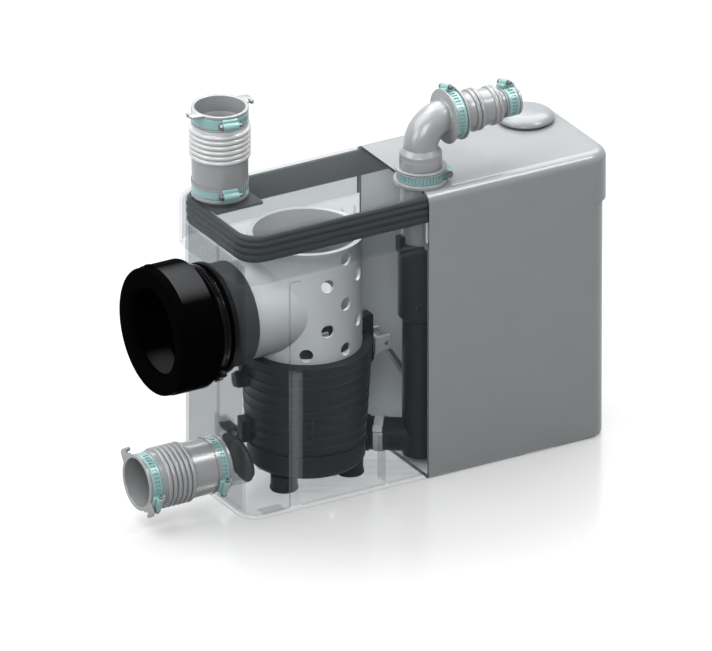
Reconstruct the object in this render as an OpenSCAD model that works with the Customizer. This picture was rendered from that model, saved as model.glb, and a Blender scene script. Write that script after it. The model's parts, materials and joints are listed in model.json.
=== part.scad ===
// Slim in-wall macerator toilet pump, shown as a demonstration unit with a clear left half.
// Frame: +X along the case to the plain end, -Y is the front, +Z is up.
// The origin is the middle of the tank's underside.

/* [Case] */
// Length of the tank
tank_l = 402; // [396:1:430]
// Depth of the tank from front to back
tank_w = 133; // [132:0.5:145]
// Height of the whole case, lid included
case_h = 300; // [296:1:320]
// Corner radius of the tank in plan
corner_r = 21; // [16:1:26]
// Wall thickness of the tank and the lid
wall = 3; // [2.4:0.1:3.4]
// Thickness of the tank floor
floor_t = 4; // [3:0.1:5]
// How far the lid stands out over the ends and the back
lid_over = 5; // [4.5:0.1:7]
// Height of the lid's skirt
lid_h = 52; // [48:1:58]
// Rounding of the lid's top edge
lid_edge = 10; // [7:0.5:12]
// Rounding of the tank's bottom edge
base_edge = 4; // [3:0.5:6]
// Position of the joint between the clear and the grey sections
cut_x = 0; // [-3:0.5:0]
// Thickness of the walls' stiffening ribs
rib_t = 3; // [2:0.1:4]

/* [Gasket] */
// Height of the gasket's outer leg
gasket_h = 24; // [18:1:28]
// Thickness of the gasket's outer leg
gasket_t = 2.5; // [2:0.1:2.6]
// Thickness of the tank's rim inside the gasket
rim_t = 2.4; // [2:0.1:2.5]
// Thickness of the gasket over the rim
gasket_top = 3; // [2:0.1:4]

/* [Toilet inlet] */
// Height of the toilet inlet's axis
wc_z = 191; // [190:0.5:193]
// Outer radius of the inlet tube on the strainer
tube_r = 47.5; // [46:0.1:48]
// Wall of the inlet tube and the strainer
tube_t = 3; // [2.4:0.1:3.5]
// Outer radius of the rubber collar in the end wall
collar_r = 51; // [50.2:0.1:52]
// How far the collar reaches into the tank
collar_in = 22; // [14:1:25]
// Outer radius of the rubber boot
boot_r = 63.5; // [60:0.5:66]
// Length of the boot outside the collar's flange
boot_l = 62; // [56:1:70]
// Radius of the opening in the boot's sealing lip
lip_r = 42; // [40:0.5:43.5]
// Length of the boot's sealing lip
lip_l = 9; // [6:0.5:11]

/* [Strainer] */
// How far the pump and the strainer lie from the case's middle, as a share of the tank's length
pump_share = 0.24254; // [0.241:0.0001:0.2437]
// Outer radius of the strainer
basket_r = 54; // [52:0.5:55]
// Height of the strainer
basket_h = 116; // [112:1:122]
// Diameter of the strainer's holes
hole_d = 13.4; // [9:0.1:15]
// Height between the strainer's rows of holes
hole_pitch = 23.7; // [20:0.1:24.5]

/* [Pump] */
// Radius of the motor housing at its top
pump_r = 60.4; // [59:0.1:60.5]
// Height of the motor housing's top face
pump_top = 142; // [140:1:143]
// Height of the joint between motor housing and volute
volute_z = 46; // [44:0.5:48]
// Height of the volute's underside
pump_z = 22; // [20:0.5:23]
// Wall of the motor housing
pump_t = 5; // [4:0.1:6]
// Radius of the motor shaft
shaft_r = 6; // [5:0.1:7]
// Radius of the impeller
impeller_r = 36; // [30:0.5:38]
// Sweep radius of the cutter blades
cutter_r = 44; // [38:0.5:46]
// Radius of the rubber feet
foot_r = 13; // [10:0.5:14]

/* [Discharge] */
// How far the discharge pipe lies from the case's middle, as a share of the tank's length
pipe_share = 0.02488; // [0.021:0.0001:0.029]
// Position of the discharge pipe from front to back
pipe_y = -33; // [-34:0.5:-31]
// Outer radius of the discharge pipe
pipe_r = 17.7; // [17.2:0.1:18.5]
// Inner radius of the discharge pipe
pipe_bore = 14; // [13:0.1:14.4]
// Outer radius of the non-return valve chamber
chamber_r = 21.9; // [21.7:0.1:23]
// Height of the non-return valve chamber's underside
chamber_z = 160; // [150:1:165]
// Height of the top of the non-return valve chamber
chamber_top = 239; // [236:1:243]
// Outer radius of the riser
riser_r = 19.6; // [19.5:0.1:20]
// Inner radius of the riser
riser_bore = 16.5; // [16:0.1:16.8]
// Height of the outlet's axis above the floor
outlet_z = 361; // [359:0.5:366]
// Radius of the elbow's bend along its middle
bend_r = 25.4; // [24:0.1:27]
// Outer radius of the elbow
elbow_r = 16.8; // [16.2:0.1:17]
// Inner radius of the elbow
elbow_bore = 13.5; // [12:0.1:14]
// Length of the outlet sleeve
outlet_l = 76; // [74:0.5:82]
// Inner radius of the outlet sleeve's open end
outlet_bore = 11.1; // [10:0.1:11.5]

/* [Waste inlets] */
// Position of the side inlet from front to back
side_y = -14; // [-15:0.5:-12]
// Height of the side inlet's axis
side_z = 44; // [42:0.5:45]
// Distance of the top inlet from the tank's end
top_inset = 31; // [30:0.5:33]
// Position of the top inlet from front to back
top_y = 38; // [34:0.5:38.5]
// Length of an inlet sleeve
sleeve_l = 88; // [84:1:94]
// Inner radius of an inlet sleeve
sleeve_bore = 24; // [22.8:0.1:24.4]
// Wall of an inlet sleeve
sleeve_t = 3.1; // [2.4:0.1:3.6]
// Height between the bellows' ridges
bellow_pitch = 5.3; // [4.6:0.1:5.6]
// Length of the inlet spigots
spigot_l = 28; // [22:1:29]

/* [Clips] */
// Width of a hose clip's band
clip_w = 8; // [6:0.1:8.4]
// Thickness of a hose clip's band
clip_t = 1.3; // [0.8:0.1:1.6]

/* [Level float] */
// Distance from the float arm's pin to the float
arm_l = 112; // [104:1:114]
// Slope of the float arm at rest, below level
arm_slope = 58; // [56:0.5:60]
// Radius of the float
float_r = 18; // [14:0.5:19]
// Length of the float
float_l = 40; // [30:1:42]

/* [Vent] */
// Distance of the vent cap from the tank's plain end
vent_inset = 34; // [33:1:41]
// Position of the vent cap from front to back
vent_y = 37; // [30:1:38]
// Radius of the vent cap
vent_r = 27.3; // [24:0.1:28]
// Height of the vent cap above the lid
vent_h = 9; // [6:0.5:10]

/* [Hidden] */
$fn = 96;

clear_c = [0.86, 0.89, 0.90, 0.35];
grey_c = [0.50, 0.51, 0.52];
light_c = [0.72, 0.73, 0.74];
charcoal_c = [0.18, 0.19, 0.20];
rubber_c = [0.05, 0.05, 0.05];
teal_c = [0.50, 0.74, 0.70];
steel_c = [0.66, 0.67, 0.68];
copper_c = [0.62, 0.36, 0.20];

eps = 0.01;
big = 1000;
soft_gap = 0.3;
run_gap = 0.05;

// The case in plan: the lid is flush with the tank at the front and stands out on the other sides.
front_y = -tank_w / 2;
end_x = -tank_l / 2;
pump_x = -pump_share * tank_l;
pipe_x = pipe_share * tank_l;
top_x = end_x + top_inset;
vent_x = tank_l / 2 - vent_inset;
lid_l = tank_l + 2 * lid_over;
lid_w = tank_w + lid_over;
lid_y = lid_over / 2;
lid_r = corner_r + lid_over - 2;
lid_z = case_h - lid_h;
lid_under = case_h - wall;
rim_z = lid_under - gasket_top;
shoulder_h = 8;
inner_l = lid_l - 2 * wall;
inner_w = lid_w - 2 * wall;
inner_r = lid_r - wall;
gasket_out = soft_gap;
rim_out = gasket_out + gasket_t + soft_gap;
rim_in = rim_out + rim_t;
leg_in = rim_in + soft_gap;
inner_leg_t = 2;
inner_leg_h = 12;

// A rectangle with true round corners, centred.
module round_rect(l, w, r) {
    square([l - 2 * r, w], center = true);
    square([l, w - 2 * r], center = true);
    for (sx = [-1, 1], sy = [-1, 1])
        translate([sx * (l / 2 - r), sy * (w / 2 - r)]) circle(r);
}

// The section of a block's side: upright outside, with its top edge rounded by e.
module edge_profile(r, h, e) {
    square([r - e, h]);
    square([r, h - e]);
    translate([r - e, h - e]) circle(e);
}

// A block that is round in plan at its corners and rounded along its top edge.
module soft_block(l, w, h, r, e) {
    cl = l - 2 * r;
    cw = w - 2 * r;
    union() {
        translate([-cl / 2, -cw / 2, 0]) cube([cl, cw, h]);
        for (a = [0, 180]) rotate([0, 0, a]) {
            translate([cl / 2, cw / 2, 0]) rotate([90, 0, 0]) linear_extrude(cw) edge_profile(r, h, e);
            translate([-cl / 2, cw / 2, 0]) rotate([90, 0, 90]) linear_extrude(cl) edge_profile(r, h, e);
            translate([cl / 2, cw / 2, 0]) rotate_extrude(angle = 90) edge_profile(r, h, e);
            translate([-cl / 2, cw / 2, 0]) rotate([0, 0, 90]) rotate_extrude(angle = 90)
                edge_profile(r, h, e);
        }
    }
}

// The lid's inner outline, drawn in by i.
module rim_outline(i) {
    translate([0, lid_y]) round_rect(inner_l - 2 * i, inner_w - 2 * i, inner_r - i);
}

// One side of the joint between the clear and the grey sections.
module section(side) {
    intersection() {
        children();
        translate([side < 0 ? cut_x - big : cut_x, -big / 2, -big / 2]) cube([big, big, big]);
    }
}

module along_x(x, y, z) {
    translate([x, y, z]) rotate([0, 90, 0]) children();
}

module against_x(x, y, z) {
    translate([x, y, z]) rotate([0, -90, 0]) children();
}

module along_y(x, y, z) {
    translate([x, y, z]) rotate([-90, 0, 0]) children();
}

module ring(r_out, r_in, h) {
    rotate_extrude() translate([r_in, 0]) square([r_out - r_in, h]);
}

// Tank

spigot_r = sleeve_bore - run_gap;
spigot_bore = spigot_r - 3;
wc_hole_r = collar_r + soft_gap;
front_rib_x = pump_x - 47;
front_rib_w = 12;
rib_depth = 4;
back_rib_depth = 6;
baffle_x = cut_x - 46;
baffle_w = 16;
baffle_h = 46;
gland_x = tank_l / 2 - 51;
gland_z = 200;
gland_r = 9;
notch_x = tank_l / 2 - 77;
notch_l = 32;
notch_h = 1.6;
pad_l = 24;
pad_w = 14;
pad_h = 1.2;
pad_x = end_x + corner_r + 16;
pad_y = tank_w / 2 - 17;

module tank_body() {
    difference() {
        union() {
            translate([0, 0, lid_z]) mirror([0, 0, 1])
                soft_block(tank_l, tank_w, lid_z, corner_r, base_edge);
            translate([0, 0, lid_z - shoulder_h]) linear_extrude(rim_z - lid_z + shoulder_h)
                rim_outline(rim_out);
        }
        translate([0, 0, floor_t]) linear_extrude(lid_z - shoulder_h - floor_t)
            round_rect(tank_l - 2 * wall, tank_w - 2 * wall, corner_r - wall);
        translate([0, 0, lid_z - shoulder_h - eps]) linear_extrude(rim_z) rim_outline(rim_in);
        translate([notch_x - notch_l / 2, -big / 2, -eps]) cube([notch_l, big, notch_h]);
        for (sx = [-1, 1], sy = [-1, 1])
            translate([sx * pad_x - pad_l / 2, sy * pad_y - pad_w / 2, -eps]) cube([pad_l, pad_w, pad_h]);
    }
}

// Upright rib on the inside of a long wall, from the floor to the shoulder.
module wall_rib(x, sy, w, d) {
    y = sy * (tank_w / 2 - wall);
    translate([x - w / 2, sy < 0 ? y - eps : y - d + eps, floor_t - eps])
        cube([w, d, lid_z - shoulder_h - floor_t]);
}

module tank_clear() {
    color(clear_c) difference() {
        union() {
            section(-1) tank_body();
            against_x(end_x + eps, side_y, side_z) cylinder(r = spigot_r, h = spigot_l);
            wall_rib(front_rib_x, -1, front_rib_w, rib_depth);
            for (x = [cut_x - 10, cut_x - 24, end_x + 40]) wall_rib(x, 1, rib_t, back_rib_depth);
            translate([baffle_x, front_y + wall - eps, floor_t - eps]) cube([rib_t, baffle_w, baffle_h]);
        }
        against_x(end_x + wall + 1, 0, wc_z) cylinder(r = wc_hole_r, h = wall + 2);
        against_x(end_x + wall + 1, side_y, side_z) cylinder(r = spigot_bore, h = spigot_l + wall + 2);
    }
}

module tank_grey() {
    color(grey_c) difference() {
        union() {
            section(1) tank_body();
            for (x = [60, box_x - 5]) wall_rib(x, 1, rib_t, back_rib_depth);
        }
        along_y(gland_x, tank_w / 2 - wall - 1, gland_z) cylinder(r = gland_r + 0.2, h = wall + 2);
    }
}

// Lid

riser_hole_r = riser_r + soft_gap;

module lid_body() {
    translate([0, lid_y, lid_z]) difference() {
        soft_block(lid_l, lid_w, lid_h, lid_r, lid_edge);
        translate([0, 0, -eps])
            soft_block(inner_l, inner_w, lid_h - wall + eps, inner_r, lid_edge - wall);
    }
}

module lid_clear() {
    color(clear_c) difference() {
        union() {
            section(-1) lid_body();
            translate([top_x, top_y, case_h - wall]) cylinder(r = spigot_r, h = wall + spigot_l);
        }
        translate([top_x, top_y, case_h - wall - 1]) cylinder(r = spigot_bore, h = spigot_l + wall + 2);
        translate([pipe_x, pipe_y, lid_z]) cylinder(r = riser_hole_r, h = lid_h + 1);
    }
}

module lid_grey() {
    color(grey_c) difference() {
        section(1) lid_body();
        translate([pipe_x, pipe_y, lid_z]) cylinder(r = riser_hole_r, h = lid_h + 1);
        translate([vent_x, vent_y, lid_z]) cylinder(r = vent_plug_r + 0.2, h = lid_h + 1);
    }
}

module rim_gasket() {
    groove = 0.9;
    groove_h = 1.6;
    color(charcoal_c) difference() {
        translate([0, lid_y, lid_under - gasket_h])
            soft_block(inner_l - 2 * gasket_out, inner_w - 2 * gasket_out, gasket_h,
                inner_r - gasket_out, lid_edge - wall - gasket_out);
        translate([0, 0, lid_under - gasket_h - eps]) linear_extrude(gasket_h - inner_leg_h + eps)
            rim_outline(gasket_out + gasket_t);
        translate([0, 0, lid_under - gasket_h]) linear_extrude(gasket_h + 1)
            rim_outline(leg_in + inner_leg_t);
        translate([0, 0, lid_under - inner_leg_h - eps])
            linear_extrude(inner_leg_h - gasket_top + eps) difference() {
                rim_outline(gasket_out + gasket_t);
                rim_outline(leg_in);
            }
        for (part = [0.27, 0.5]) translate([0, 0, lid_under - gasket_h * (1 - part)]) linear_extrude(groove_h)
            difference() {
                rim_outline(-1);
                rim_outline(gasket_out + groove);
            }
    }
}

// Vent

vent_plug_r = 20;
vent_edge = 6.5;
vent_plug_h = 6;
vent_room = 4;

module vent_cap() {
    color(grey_c) translate([vent_x, vent_y, case_h]) rotate_extrude() difference() {
        union() {
            square([vent_r, vent_h - vent_edge]);
            square([vent_r - vent_edge, vent_h]);
            translate([vent_r - vent_edge, vent_h - vent_edge]) circle(vent_edge);
            translate([0, -vent_plug_h]) square([vent_plug_r, vent_plug_h + 1]);
        }
        translate([-eps, -vent_plug_h - 1]) square([vent_plug_r - 2, vent_plug_h + 1 + vent_room]);
        translate([-vent_r, -big]) square([vent_r, 2 * big]);
        translate([vent_plug_r, -vent_plug_h]) square([big, vent_plug_h]);
    }
}

module vent_filter() {
    color(charcoal_c) translate([vent_x, vent_y, case_h - vent_plug_h - 2])
        cylinder(r = vent_plug_r - 2 - soft_gap, h = vent_plug_h + 2 + vent_room);
}

// Strainer and toilet inlet

basket_z = pump_top;
basket_floor = 3;
basket_rim = 4;
collar_flange = 5;
tube_end = end_x - collar_flange - 16;
hole_cols = 16;
hole_rows = 5;
// Angle of the strainer's first column of holes, and height of its lowest row
hole_start = -119.5;
hole_low = 9.5;

// Whether column i carries holes up to the top row; the others stop after the third.
function tall_column(i) = i > 0 && i < 6;

// Whether a hole at angle a and height z would cut into the inlet tube.
function meets_tube(a, z) = cos(a) < 0 && norm([basket_r * sin(a), z - wc_z]) < tube_r + hole_d / 2 + 1;

module strainer_basket() {
    inner_r = basket_r - tube_t;
    tube_len = pump_x - tube_end;
    color(light_c) difference() {
        union() {
            translate([pump_x, 0, basket_z]) cylinder(r = basket_r, h = basket_h);
            translate([pump_x, 0, basket_z + basket_h - basket_rim])
                cylinder(r = basket_r + 2, h = basket_rim);
            along_x(tube_end, 0, wc_z) cylinder(r = tube_r, h = tube_len);
        }
        translate([pump_x, 0, basket_z + basket_floor]) cylinder(r = inner_r, h = basket_h);
        translate([pump_x, 0, basket_z - 1]) cylinder(r = cutter_r + 3, h = 6);
        along_x(tube_end - 1, 0, wc_z) cylinder(r = tube_r - tube_t, h = tube_len + 1);
        for (i = [0:hole_cols - 1], j = [0:hole_rows - 1]) {
            a = hole_start + i * 360 / hole_cols;
            z = basket_z + hole_low + j * hole_pitch;
            if ((i + j) % 2 == 0 && (j < 3 || tall_column(i)) && !meets_tube(a, z))
                translate([pump_x, 0, z]) rotate([0, 90, a]) translate([0, 0, basket_r - 10])
                    cylinder(d = hole_d, h = 20);
        }
    }
}

module inlet_collar() {
    bore = tube_r + soft_gap;
    flange_r = collar_r + 4;
    full = collar_flange + wall + collar_in;
    bevel = 2;
    color(charcoal_c) along_x(end_x - collar_flange, 0, wc_z) rotate_extrude() polygon([
        [bore, 0], [flange_r, 0], [flange_r, collar_flange], [collar_r, collar_flange],
        [collar_r, full - bevel], [collar_r - bevel, full], [bore, full]]);
}

// The boot's section: distance from the axis, then distance out from the collar's flange.
module boot_section() {
    bore = tube_r + soft_gap;
    neck = bore + neck_t;
    ridge = band_z + clip_w + 1;
    round_r = 5;
    boot_t = 9;
    difference() {
        union() {
            polygon([[bore, 0], [neck + 1.5, 0], [neck + 1.5, 2.5], [neck, 3], [neck, ridge],
                [neck + 5, ridge + 1], [boot_r, ridge + 8], [boot_r, boot_l - round_r],
                [boot_r - round_r, boot_l], [bore, boot_l]]);
            translate([boot_r - round_r, boot_l - round_r]) circle(round_r);
        }
        translate([bore - 1, neck_l]) square([boot_r - boot_t - bore + 1, boot_l - lip_l - neck_l]);
    }
    polygon([[lip_r, boot_l - lip_l], [bore + 1, boot_l - lip_l], [bore + 1, boot_l],
        [lip_r + 4, boot_l - 1], [lip_r, boot_l - 3]]);
}

neck_l = 18;
neck_t = 4;

module wc_boot() {
    color(rubber_c) against_x(end_x - collar_flange, 0, wc_z) rotate_extrude() boot_section();
}

band_z = 4;
band_t = 2;
// Angle of the band's lug, from straight up towards the back
band_lug_a = 222;

// The band with its lug, which a cross bolt would draw together.
module boot_band() {
    r = tube_r + neck_t + 2 * soft_gap;
    lug_w = 16;
    lug_l = 8;
    color(rubber_c) against_x(end_x - collar_flange, 0, wc_z) difference() {
        union() {
            translate([0, 0, band_z]) ring(r + band_t, r, clip_w);
            rotate([0, 0, band_lug_a]) translate([r + band_t - 1, -lug_w / 2, band_z])
                cube([lug_l, lug_w, clip_w]);
        }
        rotate([0, 0, band_lug_a]) translate([r + band_t + 1, -1, band_z - 1]) cube([lug_l, 2, clip_w + 2]);
    }
}

// Pump unit

housing_bore = 52;
bearing_r = 13;
bearing_h = 9;
bearing_in = 6;
seal_r = 11;
seal_h = 4.5;
cap_t = 12;
base_plate_t = 10;
lug_r = 71;
drain_l = 10;
// Angles and height of the two round bosses on the housing's ends
boss_angles = [170, 0];
boss_z = 113;
boss_r = 8.5;
// The hook low on the housing's inlet side
hook_a = 168;
hook_w = 18;
hook_h = 22;
// The column of cooling ports at the front
port_a = -117;
port_w = 4.6;
port_h = 5.6;
port_pitch = 9.4;
screw_r = 2.5;
// Angles of the three upright screws that hold the volute to the housing
screw_angles = [125, 180, 270];
screw_ring_r = 48.5;
post_r = 5;
post_h = 16;
screw_seat = 10;
float_pin_x = pump_x + lug_r + 12;
float_pin_z = 125;

module polar(a, r, z) {
    translate([pump_x, 0, 0]) rotate([0, 0, a]) translate([r, 0, z]) children();
}

module pump_body() {
    h = pump_top - volute_z;
    taper = 2.4;
    foot_of_taper = pump_r - taper;
    fin_t = 0.9;
    fin_h = 1.6;
    root_r = housing_bore + 2;
    reach = lug_r - root_r;
    lug_w = 14;
    color(charcoal_c) difference() {
        union() {
            translate([pump_x, 0, volute_z]) cylinder(r1 = foot_of_taper, r2 = pump_r, h = h);
            for (z = [8:11:h - 8]) translate([pump_x, 0, volute_z + z])
                ring(foot_of_taper + fin_t + taper * z / h, housing_bore + 1, fin_h);
            for (a = boss_angles)
                polar(a, root_r, boss_z) rotate([0, 90, 0]) cylinder(r = boss_r, h = reach);
            polar(hook_a, root_r, volute_z + 2) translate([0, -hook_w / 2, 0])
                cube([reach - 4.5, hook_w, hook_h]);
            polar(boss_angles[1], root_r, boss_z - 2) translate([0, -lug_w / 2, 0]) cube([reach, lug_w, 46]);
            polar(hook_a, root_r, boss_z - 2) translate([0, -lug_w / 2, 0]) cube([reach - 5, lug_w, 31]);
        }
        difference() {
            translate([pump_x, 0, volute_z - 1]) cylinder(r = housing_bore, h = h - cap_t + 1);
            for (a = screw_angles) polar(a, screw_ring_r, volute_z - 2) cylinder(r = post_r, h = post_h);
        }
        for (a = screw_angles)
            polar(a, screw_ring_r, volute_z - 2) cylinder(r = screw_r + run_gap, h = post_h - 2);
        translate([pump_x, 0, volute_z]) cylinder(r = shaft_r + 1, h = h + 20);
        translate([pump_x, 0, pump_top - cap_t - 1]) cylinder(r = bearing_r + run_gap, h = bearing_in + 1);
        translate([pump_x, 0, pump_top - seal_h - 0.5]) cylinder(r = seal_r + run_gap, h = seal_h + 1.5);
        translate([pump_x, 0, pump_top]) cylinder(r = basket_r + 3, h = 30);
        polar(boss_angles[0], lug_r - drain_l - 2, boss_z) rotate([0, 90, 0])
            cylinder(r = screw_r + run_gap, h = drain_l + 3);
        for (i = [0:4]) polar(port_a, foot_of_taper - 1, volute_z + 20 + port_pitch * i)
            translate([0, -port_w / 2, 0]) cube([6, port_w, port_h]);
    }
}

// One screw, its head outwards along +Z and its shank down to -l.
module slotted_screw(l, head_r, head_h) {
    slot_w = 1.4;
    difference() {
        union() {
            cylinder(r = head_r, h = head_h);
            translate([0, 0, -l]) cylinder(r = screw_r, h = l + 1);
        }
        translate([-slot_w / 2, -head_r - 1, head_h / 2]) cube([slot_w, 2 * head_r + 2, head_h]);
    }
}

// The screws that hold the volute from below.
module housing_screws() {
    color(steel_c) for (a = screw_angles)
        polar(a, screw_ring_r, pump_z) mirror([0, 0, 1])
            slotted_screw(volute_z - pump_z + screw_seat, 5.2, 2.4);
}

// The drain screw in the round boss.
module drain_screw() {
    color(charcoal_c) polar(boss_angles[0], lug_r, boss_z) rotate([0, 90, 0])
        slotted_screw(drain_l, boss_r - 1.5, 2.4);
}

// The outlet leg leaves the volute on a line that is tangent to the scroll.
tangent_r = 38;
leg_span = norm([pipe_x - pump_x, pipe_y]);
leg_angle = atan2(pipe_y, pipe_x - pump_x) - asin(tangent_r / leg_span);
leg_len = sqrt(leg_span * leg_span - tangent_r * tangent_r);
leg_z = pump_z + 9;
volute_r = 57;
scroll_r = impeller_r + 8;
leg_r = pipe_r - 1.5;
leg_bore = pipe_bore - 0.5;
spigot_end = 68;
leg_start = 54;

// Along the outlet leg: s is the distance from the tangent point.
module along_leg(s) {
    translate([pump_x, 0, leg_z]) rotate([0, 0, leg_angle]) translate([s, tangent_r, 0])
        rotate([0, 90, 0]) children();
}

module volute_case() {
    h = volute_z - pump_z;
    out_r = leg_bore - 3;
    edge = 4;
    eye_r = 15;
    color(charcoal_c) difference() {
        union() {
            translate([pump_x, 0, pump_z]) cylinder(r1 = volute_r - 3, r2 = volute_r, h = edge);
            translate([pump_x, 0, pump_z + edge]) cylinder(r = volute_r, h = h - edge);
            translate([pump_x, 0, volute_z - 3]) cylinder(r = pump_r - 1.6, h = 3);
            along_leg(0) cylinder(r = leg_bore - run_gap, h = spigot_end);
            for (a = foot_angles) polar(a, foot_seat_r, pump_z - foot_peg) cylinder(r = foot_r - 4, h = 10);
        }
        translate([pump_x, 0, pump_z + 3]) cylinder(r = scroll_r, h = h - 3 - base_plate_t);
        translate([pump_x, 0, pump_z - 1]) cylinder(r = eye_r, h = 6);
        translate([pump_x, 0, pump_z]) cylinder(r = shaft_r + 1, h = h + 1);
        translate([pump_x, 0, volute_z - bearing_in]) cylinder(r = bearing_r + run_gap, h = bearing_in + 1);
        translate([pump_x, 0, volute_z - base_plate_t - 1]) cylinder(r = seal_r + run_gap, h = 5.1);
        along_leg(8) cylinder(r = out_r, h = spigot_end);
        for (a = screw_angles)
            polar(a, screw_ring_r, pump_z - 1) cylinder(r = screw_r + run_gap, h = h + 2);
    }
}

foot_angles = [-30, -150, 90];
foot_seat_r = 42;
foot_peg = 6;

// Rubber cups with a ridge at their foot, on the volute's three pegs.
module pump_feet() {
    peg_z = pump_z - foot_peg - floor_t;
    color(rubber_c) for (a = foot_angles) polar(a, foot_seat_r, floor_t) difference() {
        union() {
            cylinder(r = foot_r, h = peg_z + foot_peg - 2.4);
            translate([0, 0, 1]) ring(foot_r + 0.8, foot_r - 1, 1.6);
        }
        translate([0, 0, peg_z]) cylinder(r = foot_r - 4 + run_gap, h = foot_peg + 4);
    }
}

stack_z = volute_z + 22;
stack_h = 44;
rotor_r = 24;
air_gap = 0.8;
slots = 12;
slot_r = rotor_r + 3;
slot_l = 14;
slot_w = 6;

module stator() {
    color(steel_c) translate([pump_x, 0, stack_z]) difference() {
        cylinder(r = housing_bore - run_gap, h = stack_h);
        translate([0, 0, -1]) cylinder(r = rotor_r + air_gap, h = stack_h + 2);
        for (i = [0:slots - 1]) rotate([0, 0, i * 360 / slots])
            translate([slot_r, -slot_w / 2, -1]) cube([slot_l, slot_w, stack_h + 2]);
    }
}

// The coils: a bar in every slot of the stator, joined by a ring of wire at both ends.
module windings() {
    head_h = 9;
    bar_l = slot_l - 2 * soft_gap;
    bar_w = slot_w - 2 * soft_gap;
    color(copper_c) translate([pump_x, 0, stack_z]) union() {
        for (z = [-head_h, stack_h]) translate([0, 0, z])
            ring(slot_r + slot_l - soft_gap, slot_r + soft_gap, head_h);
        for (i = [0:slots - 1]) rotate([0, 0, i * 360 / slots])
            translate([slot_r + soft_gap, -bar_w / 2, -1]) cube([bar_l - 0.4, bar_w, stack_h + 2]);
    }
}

module upper_bearing() {
    color(steel_c) translate([pump_x, 0, pump_top - cap_t - bearing_h + bearing_in])
        ring(bearing_r, shaft_r + run_gap, bearing_h);
}

module lower_bearing() {
    color(steel_c) translate([pump_x, 0, volute_z - bearing_in])
        ring(bearing_r, shaft_r + run_gap, bearing_h);
}

module upper_seal() {
    color(rubber_c) translate([pump_x, 0, pump_top - seal_h - 0.5]) ring(seal_r, shaft_r + run_gap, seal_h);
}

module lower_seal() {
    color(rubber_c) translate([pump_x, 0, volute_z - base_plate_t - 0.6])
        ring(seal_r, shaft_r + run_gap, 4.6);
}

shaft_low = pump_z + 4;
shaft_high = pump_top + 24;

module motor_shaft() {
    color(steel_c) translate([pump_x, 0, 0]) union() {
        translate([0, 0, shaft_low]) cylinder(r = shaft_r, h = shaft_high - shaft_low - 2);
        translate([0, 0, shaft_high - 2]) cylinder(r1 = shaft_r, r2 = shaft_r - 1.5, h = 2);
    }
}

module rotor() {
    color(steel_c) translate([pump_x, 0, stack_z]) ring(rotor_r, shaft_r, stack_h);
}

module impeller() {
    vanes = 6;
    plate = 3;
    vane_h = 6;
    vane_t = 2.4;
    sweep = 26;
    color(light_c) translate([pump_x, 0, shaft_low]) difference() {
        union() {
            translate([0, 0, vane_h]) cylinder(r = impeller_r, h = plate);
            cylinder(r = shaft_r + 4, h = vane_h + 1);
            for (i = [0:vanes - 1]) rotate([0, 0, i * 360 / vanes]) linear_extrude(vane_h + 1)
                intersection() {
                    translate([0, sweep]) difference() {
                        circle(sweep);
                        circle(sweep - vane_t);
                    }
                    translate([shaft_r, 0]) square([impeller_r - shaft_r - 3, sweep]);
                }
        }
        translate([0, 0, -1]) cylinder(r = shaft_r, h = vane_h + plate + 2);
    }
}

blade_z = pump_top + 13;
blade_hub_h = 5;

// Four flat arms with upturned blades; their trailing edges are ground back.
module cutter_blades() {
    blade_w = 13;
    blade_t = 3;
    blade_h = 11;
    hub_r = 13;
    grind_a = 9;
    color(steel_c) translate([pump_x, 0, blade_z]) difference() {
        union() {
            cylinder(r = hub_r, h = blade_hub_h);
            for (a = [0, 90, 180, 270]) rotate([0, 0, a]) {
                translate([0, -blade_w / 2, 0]) cube([cutter_r - 3, blade_w, blade_t]);
                translate([cutter_r - 8, -blade_w / 2, 0]) cube([blade_t, blade_w, blade_h]);
            }
        }
        translate([0, 0, -1]) cylinder(r = shaft_r, h = blade_hub_h + 2);
        for (a = [0, 90, 180, 270]) rotate([0, 0, a]) translate([hub_r + 3, blade_w / 2, -1])
            rotate([0, 0, -grind_a]) cube([cutter_r, blade_w / 2, blade_h + 2]);
    }
}

module cutter_nut() {
    nut_h = 5.5;
    color(steel_c) translate([pump_x, 0, blade_z + blade_hub_h]) difference() {
        cylinder(r = shaft_r + 3.5, h = nut_h, $fn = 6);
        translate([0, 0, -1]) cylinder(r = shaft_r, h = nut_h + 2);
    }
}

// Discharge

chamber_bore = chamber_r - 3.2;
socket_r = riser_r + run_gap;
seat_z = chamber_z + 10;
pipe_z = leg_z - pipe_r + 0.5;
socket_h = 16;
riser_z = chamber_top - socket_h;
hook_t = 3.4;
hook_y = 8;

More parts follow.
